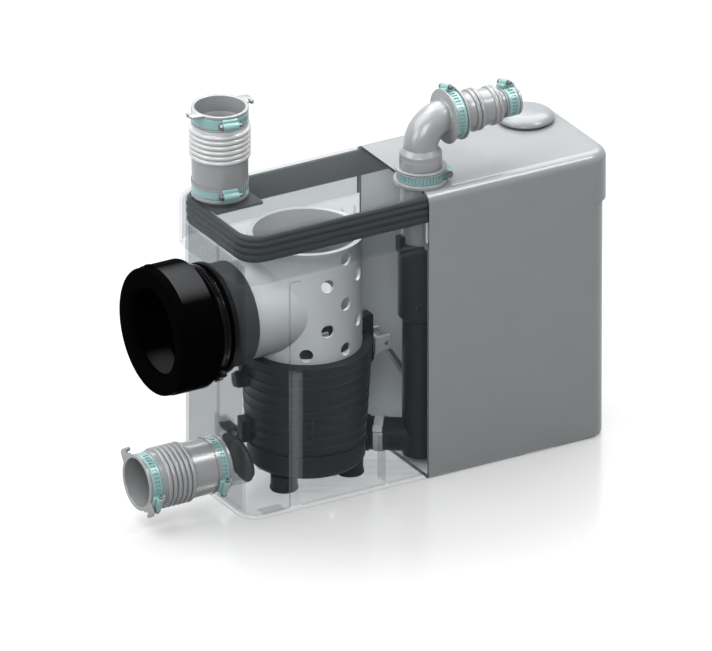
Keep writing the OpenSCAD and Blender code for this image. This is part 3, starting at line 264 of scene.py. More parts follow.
def tinted(graph: Graph, colour: object, tone: Socket) -> Socket:
    """Multiplies a colour, plain or from a socket, by a value that changes over the surface."""
    return graph.out("VectorMath", colour, operation="SCALE", Scale=tone)


def blended(graph: Graph, mask: Socket, base: object, over: Colour) -> Socket:
    """Lays one colour over another by a mask.

    Args:
        graph: The material's graph.
        mask: Where the upper colour shows.
        base: The lower colour, plain or from a socket.
        over: The upper colour.

    Returns:
        The colour's socket.
    """
    lower = tinted(graph, base, graph.math("SUBTRACT", 1.0, mask))
    return graph.out("VectorMath", tinted(graph, over, mask), lower, operation="ADD")


@dataclass(frozen=True)
class Finish:
    """A moulded plastic or rubber finish, and the start of the others.

    Args:
        name: The material's name.
        colour: Its main colour.
        roughness: Its lowest and highest roughness.
        bump: Depth of the grain, in metres, or 0 for none.
        tint: How far the tone drifts, as a share of the colour.
        grain: Scale of the fine grain.
        specular: The shader's specular level.
        coat: Weight of a clear coat.
        metallic: How metallic the shader is.
        index: Refractive index; a dull dark rubber mirrors less at its rims with a low one.
    """

    name: str
    colour: Colour
    roughness: tuple[float, float]
    bump: float = 2e-6
    tint: float = 0.06
    grain: float = 900.0
    specular: float = 0.5
    coat: float = 0.0
    metallic: float = 0.0
    index: float = 1.45

    def material(self) -> bpy.types.Material:
        """Gives the material, which is built the first time.

        Returns:
            The Blender material.
        """
        made = bpy.data.materials.get(self.name)
        if made is None:
            made = bpy.data.materials.new(self.name)
            made.use_nodes = True
            self.wire(Graph(made.node_tree), made.node_tree.nodes["Principled BSDF"])
        return made

    def wire(self, graph: Graph, shader: Node) -> None:
        """Sets up the shader.

        Args:
            graph: The material's graph.
            shader: The shader in it.
        """
        drift, fine, height = self.pattern(graph)
        tone = graph.ranged(drift, 1 - self.tint, 1 + self.tint)
        graph.wire(shader, Base_Color=self.painted(graph, tone), Metallic=self.metallic,
                   Roughness=graph.ranged(fine, *self.roughness), IOR=self.index,
                   Specular_IOR_Level=self.specular, Coat_Weight=self.coat, Coat_Roughness=0.2)
        if self.bump:
            graph.wire(shader, Normal=graph.out("Bump", Distance=self.bump, Height=height))

    def pattern(self, graph: Graph) -> tuple[Socket, ...]:
        """Gives the drift of the tone, the fine grain and the height for bump."""
        return tuple(graph.add("Group", node_tree=GRAIN, Grain_Scale=self.grain).outputs)

    def painted(self, graph: Graph, tone: Socket) -> Socket:
        """Gives the colour over the surface, for a drift of the tone."""
        return tinted(graph, self.colour, tone)


@dataclass(frozen=True)
class Metal(Finish):
    """A machined or rolled metal finish with fine lines."""

    roughness: tuple[float, float] = (0.22, 0.4)
    bump: float = 1e-5
    tint: float = 0.08
    metallic: float = 1.0
    index: float = 1.5

    def pattern(self, graph: Graph) -> tuple[Socket, ...]:
        """Gives the lines for the tone, the roughness and the bump alike."""
        return (graph.out("Group", node_tree=LINES),) * 3


@dataclass(frozen=True, kw_only=True)
class TwoTone(Finish):
    """A finish with a second colour over a part of it, such as the painted highlight on a sleeve's bellows.

    Args:
        other: The second colour.
        box: Where it shows.
        way: The direction in which its faces look, or None for faces of all directions.
        span: Share of a face that looks that way, where the colour begins and where it is full.
    """

    other: Colour
    box: Box = EVERYWHERE
    way: Point | None = None
    span: tuple[float, float] = (0.0, 1.0)

    def painted(self, graph: Graph, tone: Socket) -> Socket:
        """Gives the main colour with the second one over it.

        Args:
            graph: The material's graph.
            tone: The drift of the tone.

        Returns:
            The colour's socket.
        """
        mask = box_mask(graph, self.box)
        if self.way is not None:
            settings = dict(zip(("X", "Y", "Z", "Start", "End"), (*self.way, *self.span)))
            mask = graph.math("MULTIPLY", graph.out("Group", node_tree=FACING, **settings), mask)
        return blended(graph, mask, super().painted(graph, tone), self.other)


@dataclass(frozen=True, kw_only=True)
class ClearPlastic(Finish):
    """A clear moulded wall that dims what is behind it a little and shows its own face at a slant.

    Args:
        film: The colour that each surface lets through to the eye.
        end_film: What the end wall lets through: less than the other walls, a painted shade.
        base_film: What the base lets through: more than the other walls, a painted light on the shadowed
            floor seen through it.
        unseen: What each surface lets through to everything but the eye.
        haze: Share of the surface that shows itself, head on and at a full slant.
        rib_share: Share of a thick rib that shows itself.
        rib: Where the thick rib is.
        end_wall: Where the end wall is.
        base: Where the base is.
    """

    film: Colour = (0.86, 0.87, 0.873)
    # The end wall lets through less than the other walls: a painted shade.
    end_film: Colour = (0.70, 0.71, 0.715)
    # The base lets through more than the other walls: a painted light on the shadowed floor seen through it.
    base_film: Colour = (0.97, 0.972, 0.975)
    unseen: Colour = (0.97, 0.975, 0.975)
    haze: tuple[float, float] = (0.008, 0.25)
    rib_share: float = 0.10
    rib: Box = ((-150.6, -66.8, 3.0), (-139.4, -59.0, 146.0))
    end_wall: Box = ((-202.0, -60.0, 8.0), (-197.0, 60.0, 268.0))
    base: Box = ((-190.0, -58.0, -1.0), (0.5, 58.0, 4.6))

    def wire(self, graph: Graph, shader: Node) -> None:
        """Sets up the wall's own face and mixes it with what it lets through.

        Args:
            graph: The material's graph.
            shader: The shader of the wall's own face.
        """
        super().wire(graph, shader)
        # Painted shade: the end wall lets through less.
        through = blended(graph, box_mask(graph, self.end_wall), self.film, self.end_film)
        # Painted light: the base lets through more.
        through = blended(graph, box_mask(graph, self.base), through, self.base_film)
        slant = graph.add("LayerWeight", Blend=0.5).outputs["Facing"]
        shown = graph.ranged(graph.math("POWER", slant, 4.0), *self.haze)
        thick = graph.math("MULTIPLY", box_mask(graph, self.rib), self.rib_share)
        face = graph.out("MixShader", graph.math("MAXIMUM", shown, thick),
                         graph.out("BsdfTransparent", through), shader.outputs[0])
        bare = graph.out("BsdfTransparent", (*self.unseen, 1))
        graph.show(graph.out("MixShader", ray_mask(graph, "Camera"), bare, face))


# The second colour is painted light: the shell's faces inside the case are painted near white, standing in
# for light that does not reach in there.
SHELL = TwoTone("satin_grey_shell", (0.163, 0.173, 0.178), (0.22, 0.28), bump=1.5e-6,
                other=(0.80, 0.83, 0.84), box=((-900.0, -64.2, 2.6), (170.0, 64.2, 289.0)))
CLEAR = ClearPlastic("clear_case", (0.42, 0.44, 0.45), (0.135, 0.145), bump=0.0, tint=0.04, specular=0.6,
                     index=1.5)
GASKET = Finish("ribbed_gasket_rubber", (0.034, 0.038, 0.041), (0.42, 0.5), bump=4e-6, index=1.14)
COLLAR = TwoTone("dark_collar_rubber", (0.034, 0.038, 0.041), (0.42, 0.5), bump=4e-6, index=1.14,
                 other=(0.003, 0.003, 0.0032), box=((-207.0, -60.0, 130.0), (-201.1, 60.0, 250.0)))
# The second colour is a painted sheen: a paler patch on the faces of the boot's outer part that look up and
# slightly forward.
BOOT = TwoTone("smooth_boot_rubber", (0.0008, 0.0008, 0.0009), (0.32, 0.38), index=1.012,
               other=(0.035, 0.036, 0.038), box=((-258.4, -1000.0, -1000.0), (-226.0, 1000.0, 1000.0)),
               way=(0.0, -0.33, 0.944), span=(0.89, 1.0))
PUMP = Finish("charcoal_pump_plastic", (0.019, 0.023, 0.025), (0.36, 0.46), bump=4e-6, index=1.16)
# The second colour is a painted shade: the strainer darker on its faces that look down and towards +X.
STRAINER = TwoTone("pale_strainer_plastic", (0.45, 0.46, 0.465), (0.4, 0.5),
                   other=(0.125, 0.13, 0.133), way=(0.6, 0.0, -0.8), span=(-0.45, 0.9))
PALE = Finish("pale_fixing_plastic", (0.42, 0.43, 0.435), (0.3, 0.4))
FLAP = Finish("worn_flap_rubber", (0.062, 0.060, 0.062), (0.5, 0.6), bump=4e-6, index=1.2)
ARM = Finish("mid_grey_lever_plastic", (0.13, 0.136, 0.14), (0.36, 0.44))
# The second colour is a painted highlight: the top sleeve's bellows are paler, the side sleeve's are not.
SLEEVE = TwoTone("silver_sleeve_plastic", (0.190, 0.197, 0.200), (0.22, 0.28), bump=1e-6, metallic=0.1,
                 other=(0.36, 0.367, 0.37), box=((-205.0, 0.0, 341.0), (-135.0, 76.0, 374.6)))
TEAL = Finish("teal_clip_coating", (0.148, 0.262, 0.258), (0.26, 0.34), coat=0.25)
BAND = Finish("black_band_coating", (0.002, 0.002, 0.0022), (0.20, 0.26), index=1.13)
SCREW = Metal("dull_screw_steel", (0.135, 0.128, 0.13), (0.3, 0.42))
STEEL = Metal("machined_steel", (0.56, 0.57, 0.58))
IRON = Metal("lacquered_iron", (0.36, 0.24, 0.16), (0.4, 0.55))
COPPER = Metal("enamelled_copper", (0.58, 0.24, 0.10), (0.3, 0.42))
FOAM = Finish("carbon_foam", (0.02, 0.02, 0.02), (0.9, 1.0), bump=6e-4, tint=0.5, grain=500.0)

FINISH_OF_SLOT = {
    Slot.CLEAR: CLEAR,
    Slot.SHELL: SHELL,
    Slot.GASKET: GASKET,
    Slot.BOOT: BOOT,
    Slot.PUMP: PUMP,
    Slot.STRAINER: STRAINER,
    Slot.SLEEVE: SLEEVE,
    Slot.CLIP: TEAL,
    Slot.STEEL: STEEL,
    Slot.IRON: IRON,
    Slot.FOAM: FOAM,
    Slot.COPPER: COPPER,
}
FINISH_OF_NODE = {
    "inlet_collar": COLLAR,
    "float_arm": ARM,
    "inlet_flap": PUMP,
    "flap_rubber": FLAP,
    "flap_pin": SCREW,
    "float_bracket": PALE,
    "pipe_clip": PALE,
    "flap_seat": CLEAR,
    "pump_feet": PUMP,
}


def dress_nodes() -> None:
    """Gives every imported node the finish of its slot, or its own."""
    for part in frame["record"]["subparts"]:
        node = frame["nodes"][part["node"]]
        finish = FINISH_OF_NODE.get(part["node"], FINISH_OF_SLOT[Slot(part["material_slot"])])
        node.data.materials.clear()
        node.data.materials.append(finish.material())
        log.info("dressed %s", node.name)


def start_clean() -> None:
    """Leaves edit mode and deselects everything."""
    if bpy.context.mode != "OBJECT":
        bpy.ops.object.mode_set(mode="OBJECT")
    bpy.ops.object.select_all(action="DESELECT")


def only(piece: Piece) -> None:
    """Leaves edit mode, and leaves one piece selected and active.

    Args:
        piece: The piece.
    """
    start_clean()
    piece.select_set(True)
    bpy.context.view_layer.objects.active = piece


def rounded(corners: list[Point], steps: int = 4) -> Outline:
    """Rounds the corners of an outline.

    Args:
        corners: Radius, height and corner radius of each corner, in order.
        steps: Faces to each rounded corner.

    Returns:
        The outline's points.
    """
    points: Outline = []
    for i, (radius, height, fillet) in enumerate(corners):
        here = Vector((radius, height))
        if fillet == 0:
            points.append((radius, height))
            continue
        back = (Vector(corners[i - 1][:2]) - here).normalized()
        ahead = (Vector(corners[(i + 1) % len(corners)][:2]) - here).normalized()
        half = back.angle(ahead) / 2
        centre = here + (back + ahead).normalized() * fillet / math.sin(half)
        first, last = (here + side * fillet / math.tan(half) - centre for side in (back, ahead))
        sweep = math.pi - 2 * half
        for k in range(steps + 1):
            t = k / steps
            arm = (first * math.sin((1 - t) * sweep) + last * math.sin(t * sweep)) / math.sin(sweep)
            points.append(tuple(centre + arm))
    return points


def select_mesh() -> None:
    """Selects all of the piece in edit mode."""
    bpy.ops.mesh.select_all(action="SELECT")


def extruded(shift: Point | Vector) -> None:
    """Extrudes what is selected in edit mode, by a shift in metres."""
    bpy.ops.mesh.extrude_region_move(TRANSFORM_OT_translate={"value": shift})


def fresh_plane() -> Piece:
    """Adds a plane of a millimetre and opens it in edit mode, with all its points selected.

    Returns:
        The plane.
    """
    start_clean()
    bpy.ops.mesh.primitive_plane_add(size=MM)
    bpy.ops.object.mode_set(mode="EDIT")
    bpy.ops.mesh.select_mode(type="VERT")
    select_mesh()
    return bpy.context.active_object


def drawn(path: list[Vector], closed: bool) -> Piece:
    """Draws a line point by point, and leaves it selected in edit mode.

    Args:
        path: The line's points, in metres.
        closed: Whether the line goes back to its first point.

    Returns:
        The piece that holds the line.
    """
    piece = fresh_plane()
    bpy.ops.mesh.merge(type="CENTER")
    bpy.ops.transform.translate(value=path[0])
    for a, b in zip(path, path[1:] + path[:1] if closed else path[1:]):
        extruded(b - a)
    select_mesh()
    bpy.ops.mesh.remove_doubles(threshold=LINE_MERGE)
    return piece


def sealed(merge: float) -> None:
    """Merges the doubles of the piece in edit mode, turns its faces outward and leaves edit mode.

    Args:
        merge: Points closer than this, in metres, are merged.
    """
    select_mesh()
    bpy.ops.mesh.remove_doubles(threshold=merge)
    bpy.ops.mesh.normals_make_consistent(inside=False)
    bpy.ops.object.mode_set(mode="OBJECT")


def spun(outline: Outline, steps: int = 96) -> Piece:
    """Draws a wall's section and spins it round Z.

    Args:
        outline: Radius and height of each point. It closes on itself, unless both ends are on Z.
        steps: Faces round the piece.

    Returns:
        The spun piece.
    """
    closed = outline[0][0] > 0 or outline[-1][0] > 0
    piece = drawn([Vector((r, 0, z)) * MM for r, z in outline], closed)
    bpy.ops.mesh.spin(steps=steps, angle=math.tau, center=(0, 0, 0), axis=(0, 0, 1))
    sealed(SPIN_MERGE)
    return piece


def pick_faces(piece: Piece, wanted: Callable[[Face], bool]) -> None:
    """Selects the faces that a test accepts, and opens the piece in edit mode.

    Args:
        piece: The piece to work on.
        wanted: A test of one face.
    """
    only(piece)
    bpy.ops.object.mode_set(mode="EDIT")
    bpy.ops.mesh.select_mode(type="FACE")
    bpy.ops.mesh.select_all(action="DESELECT")
    bpy.ops.object.mode_set(mode="OBJECT")
    for face in piece.data.polygons:
        face.select = wanted(face)
    bpy.ops.object.mode_set(mode="EDIT")


def block(size: Point, centre: Point, edge: float, segments: int = 3) -> Piece:
    """Makes a block with rounded edges.

    Args:
        size: Its length, depth and height.
        centre: Its middle.
        edge: Radius of its edges.
        segments: Faces across each rounded edge.

    Returns:
        The block.
    """
    start_clean()
    bpy.ops.mesh.primitive_cube_add(size=MM)
    piece = bpy.context.active_object
    bpy.ops.object.mode_set(mode="EDIT")
    select_mesh()
    bpy.ops.transform.resize(value=size, center_override=(0, 0, 0))
    bpy.ops.transform.translate(value=Vector(centre) * MM)
    bpy.ops.mesh.bevel(offset=edge * MM, segments=segments, affect="EDGES")
    bpy.ops.object.mode_set(mode="OBJECT")
    return piece


def plate(corners: Outline, low: float, high: float, edge: float) -> Piece:
    """Draws a flat plate corner by corner and thickens it.

    Args:
        corners: X and Y of each corner.
        low: Height of its underside.
        high: Height of its top.
        edge: Radius of its edges.

    Returns:
        The plate.
    """
    piece = drawn([Vector((x, y, low)) * MM for x, y in corners], closed=True)
    bpy.ops.mesh.edge_face_add()
    extruded((0, 0, (high - low) * MM))
    select_mesh()
    bpy.ops.mesh.normals_make_consistent(inside=False)
    bpy.ops.mesh.bevel(offset=edge * MM, segments=2, affect="EDGES")
    bpy.ops.object.mode_set(mode="OBJECT")
    return piece


def joined(*parts: Piece) -> Piece:
    """Joins parts into one piece.

    Args:
        parts: The parts.

    Returns:
        The first part, with the others in it.
    """
    only(parts[0])
    for part in parts[1:]:
        part.select_set(True)
    bpy.ops.object.join()
    return parts[0]


def copied(piece: Piece) -> Piece:
    """Copies a piece with its own mesh.

    Args:
        piece: The piece to copy.

    Returns:
        The copy.
    """
    only(piece)
    bpy.ops.object.duplicate(linked=False)
    return bpy.context.active_object


def cut_out(piece: Piece, tool: Piece) -> None:
    """Cuts a tool's shape out of a piece, and removes the tool.

    Args:
        piece: The piece to cut.
        tool: The shape that comes off.
    """
    only(piece)
    cut = piece.modifiers.new("cut", "BOOLEAN")
    cut.operation = "DIFFERENCE"
    cut.object = tool
    bpy.ops.object.modifier_apply(modifier=cut.name)
    bpy.data.objects.remove(tool)


def placed(piece: Piece, turn: Matrix, shift: Point = (0, 0, 0)) -> Piece:
    """Turns and moves a piece and puts its place into its mesh.

    Args:
        piece: The piece to place.
        turn: Its rotation.
        shift: Where its own origin goes.

    Returns:
        The same piece.
    """
    only(piece)
    piece.rotation_mode = "QUATERNION"
    piece.rotation_quaternion = turn.to_quaternion()
    piece.location = Vector(shift) * MM
    bpy.ops.object.transform_apply(location=True, rotation=True, scale=True)
    return piece


def turn_about(axis: str, degrees: float) -> Matrix:
    """Gives a rotation about X, Y or Z."""
    return Matrix.Rotation(math.radians(degrees), 4, axis)


UNTURNED = Matrix.Identity(4)
ALONG_X = turn_about("Y", 90)
AGAINST_X = turn_about("Y", -90)


def finished(name: str, piece: Piece, finish: Finish, slot: Slot, body: str, *nodes: str,
             angle: float = 35.0) -> None:
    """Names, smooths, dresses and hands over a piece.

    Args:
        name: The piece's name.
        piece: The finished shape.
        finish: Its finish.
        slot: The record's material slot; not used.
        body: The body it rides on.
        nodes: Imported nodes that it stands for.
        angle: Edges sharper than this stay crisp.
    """
    only(piece)
    piece.name = name
    bpy.ops.object.shade_smooth_by_angle(angle=math.radians(angle))
    piece.data.materials.clear()
    piece.data.materials.append(finish.material())
    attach(piece, body)
    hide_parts(*nodes)
    log.info("%s: %d faces, %s", piece.name, len(piece.data.polygons), finish.name)


class Pattern(Enum):
    """How many slots a clip's band has."""

    NEAR_SCREW = 11
    ALL_ROUND = 60


@dataclass
class HoseClip:
    """A worm-drive clip: a slotted band, a housing with its barrel, and the screw in it.

    Args:
        seat: Radius of what it clamps.
        width: Width of the band.
        band: Thickness of the band.
        gap: Gap between the band and what it clamps.
        steps: Faces round the band, two to each slot and the bridge beside it.
        pattern: How many slots there are.
        first_slot: How many places for slots stay empty beside the housing.
        slot_half: Half the length of a slot.
        slot_depth: Depth of a slot.
        barrel: Radius of the housing's barrel.
        half_housing: Half the length of the housing.
        head: Radius of the screw's head.
    """

    seat: float
    width: float
    band: float = 1.3
    gap: float = 0.05
    steps: int = 88
    pattern: Pattern = Pattern.NEAR_SCREW
    first_slot: int = 3
    slot_half: float = 2.6
    slot_depth: float = 0.95
    barrel: float = 3.4
    half_housing: float = 8.0
    head: float = 3.1

    @property
    def outer(self) -> float:
        """Outer radius of the band."""
        return self.seat + self.gap + self.band

    def build(self) -> tuple[Piece, Piece]:
        """Models the band and the screw round Z, with the housing towards +X."""
        return self.strap(), self.screw()

    def in_slot(self, face: Face) -> bool:
        """Tells whether a face of the band is the floor of a slot.

        Args:
            face: The face.

        Returns:
            Whether it is in the outer middle row, at the place of a slot.
        """
        spot = face.center / MM
        if abs(spot.z) > 0.5 or math.hypot(spot.x, spot.y) < self.outer - 0.4:
            return False
        pitch = 2 * math.tau / self.steps
        turn = math.atan2(spot.y, spot.x) % math.tau
        number = int(turn / pitch)
        return turn - number * pitch < pitch / 2 and 0 <= number - self.first_slot < self.pattern.value

    def strap(self) -> Piece:
        """Models the band with its slots, and the housing with its foot, barrel and lip.

        Returns:
            All of them in one piece.
        """
        inner, outer, half, long = self.seat + self.gap, self.outer, self.width / 2, self.half_housing
        section = rounded([(inner, -half, 0), (outer, -half, 0.45), (outer, -self.slot_half, 0),
                           (outer, self.slot_half, 0), (outer, half, 0.45), (inner, half, 0)], 2)
        ring = spun(section, self.steps)
        pick_faces(ring, self.in_slot)
        bpy.ops.mesh.extrude_faces_move(TRANSFORM_OT_shrink_fatten={"value": -self.slot_depth * MM})
        foot = block((self.band + 2.6, 2 * long - 1, self.width + 1.4), (outer + 0.9, 0, 0), 0.7)
        start_clean()
        bpy.ops.mesh.primitive_cylinder_add(vertices=28, radius=self.barrel * MM, depth=2 * long * MM)
        tube = bpy.context.active_object
        pick_faces(tube, lambda face: abs(face.normal.z) > 0.9)
        bpy.ops.mesh.bevel(offset=0.8 * MM, segments=3, affect="EDGES")
        placed(tube, turn_about("X", 90), (outer + self.barrel, 0, 0))
        lip = block((2.2, 2.4, self.width + 2.0), (outer + 0.9, long - 1.6, 0), 0.6)
        return joined(ring, foot, tube, lip)

    def screw(self) -> Piece:
        """Models the screw: a slotted hexagon head, its collar and its shaft.

        Returns:
            The screw.
        """
        start_clean()
        bpy.ops.mesh.primitive_cylinder_add(vertices=6, radius=self.head * MM, depth=2.6 * MM)
        head = bpy.context.active_object
        pick_faces(head, lambda face: face.normal.z > 0.9)
        bpy.ops.mesh.inset(thickness=0.7 * MM)
        extruded((0, 0, 0.5 * MM))
        bpy.ops.mesh.bevel(offset=0.3 * MM, segments=2, affect="EDGES")
        cut_out(head, block((1.0, 5.0, 1.2), (0, 0, 1.8), 0.1, 1))
        wide = self.head + 0.5
        collar = spun(rounded([(0, -2.2, 0), (wide, -2.2, 0.3), (wide, -1.2, 0.3), (0, -1.2, 0)], 2), 24)
        shaft = spun(rounded([(0, -21, 0), (2, -21, 0.6), (2, -2, 0), (0, -2, 0)], 3), 20)
        return placed(joined(head, collar, shaft), turn_about("X", 90),
                      (self.outer + self.barrel, -self.half_housing - 1.9, 0))


@dataclass
class InletClips:
    """The four clips of the two inlet sleeves, modelled once and copied.

    Args:
        clip: The clip at its size.
    """

    clip: HoseClip = field(default_factory=lambda: HoseClip(seat=26.2, width=10.6))

    def build(self) -> None:
        """Models the clip and sets its copies round the sleeves."""
        band, screw = self.clip.build()
        upright = turn_about("Z", -100)
        sideways = AGAINST_X @ turn_about("Z", -114)
        screws = []
        for name, turn, shift, node in (
            ("top_clip_low", upright, (-170.0, 38.0, 309.2), "top_clip_lower"),
            ("top_clip_high", upright, (-170.0, 38.0, 382.6), "top_clip_upper"),
            ("side_clip_near", sideways, (-210.2, -14.0, 44.0), "side_clip_inner"),
            ("side_clip_far", sideways, (-283.6, -14.0, 44.0), "side_clip_outer"),
        ):
            finished(name, placed(copied(band), turn, shift), TEAL, Slot.CLIP, "root", node)
            screws.append(placed(copied(screw), turn, shift))
        finished("inlet_screws", joined(*screws), SCREW, Slot.STEEL, "root", "inlet_clip_screws")
        for spare in (band, screw):
            bpy.data.objects.remove(spare)


@dataclass
class InletSleeve:
    """The ribbed sleeve of a waste inlet: bellows, clip seats and an eared rim.

    Args:
        bore: Inner radius.
        wall: Outer radius of the plain part.
        seat: Radius under the clips.
        collar: Radius of the rings beside the clips.
        length: Length of the sleeve.
        middle: Height of the bellows' middle.
        ridge: Outer radius of the bellows.
        root: How far the foot of a ridge stands out from the wall.
        pitch: Distance between the ridges.
        ridges: How many ridges there are.
        steps: Faces across each ridge.
    """

    bore: float = 24.0
    wall: float = 27.1
    seat: float = 26.2
    collar: float = 27.9
    length: float = 91.0
    middle: float = 56.0
    ridge: float = 29.9
    root: float = 0.4
    pitch: float = 5.3
    ridges: int = 6
    steps: int = 10

    def section(self) -> Outline:
        """Draws the wall's section with its ridges.

        Returns:
            Radius and height of each point.
        """
        top, bore, seat, collar = self.length, self.bore, self.seat, self.collar
        low = rounded([(bore, 0, 0.5), (27.8, 0, 0.5), (27.8, 3.6, 0.5), (seat, 3.6, 0), (seat, 15, 0),
                       (collar, 15, 0.5), (collar, 16.6, 0.5)], 3)
        wall: Outline = [(self.wall, 17.0)]
        first = self.middle - (self.ridges - 1) / 2 * self.pitch
        half = self.pitch / 2 - 0.15
        for i in range(self.ridges):
            for k in range(self.steps + 1):
                t = math.cos(math.pi * k / self.steps)
                rise = (self.ridge - self.wall - self.root) * math.sqrt(max(0.0, 1 - t * t))
                wall.append((self.wall + self.root + rise, first + i * self.pitch - half * t))
        high = rounded([(self.wall, top - 15.9, 0), (collar, top - 15.6, 0.5), (collar, top - 14, 0.5),
                        (seat, top - 14, 0), (seat, top - 2.8, 0), (27.7, top - 2.8, 0.5),
                        (27.7, top, 0.6), (bore, top, 0.9)], 3)
        stop = rounded([(bore, 35, 0), (22.6, 35, 0.6), (22.6, 29, 0.6), (bore, 29, 0)], 2)
        return low + wall + high + stop

    def ear(self, angle: float) -> Piece:
        """Models one flared ear of the rim.

        Args:
            angle: Where round the rim it stands.

        Returns:
            The ear.
        """
        top = self.length
        web = plate([(24.8, 11.0), (36.4, 8.2), (37.6, 3.0), (34.6, -2.2), (31.0, -1.6), (28.6, -7.0),
                     (24.6, -8.0)], top - 2.6, top - 0.1, 0.5)
        hook = plate([(31.4, -2.4), (36.0, -1.4), (35.4, -5.6), (32.6, -6.6)], top - 4.4, top - 0.4, 0.7)
        return placed(joined(web, hook), turn_about("Z", angle))

    def build(self) -> None:
        """Models the sleeve and sets one over each waste inlet."""
        body = spun(self.section(), 128)
        for name, angle, turn, shift, node in (
            ("top_sleeve_ribbed", 4.0, UNTURNED, (-170.0, 38.0, 300.0), "top_sleeve"),
            ("side_sleeve_ribbed", 45.0, AGAINST_X, (-201.0, -14.0, 44.0), "side_sleeve"),
        ):
            sleeve = joined(copied(body), self.ear(angle), self.ear(angle + 180))
            finished(name, placed(sleeve, turn, shift), SLEEVE, Slot.SLEEVE, "root", node)
        bpy.data.objects.remove(body)


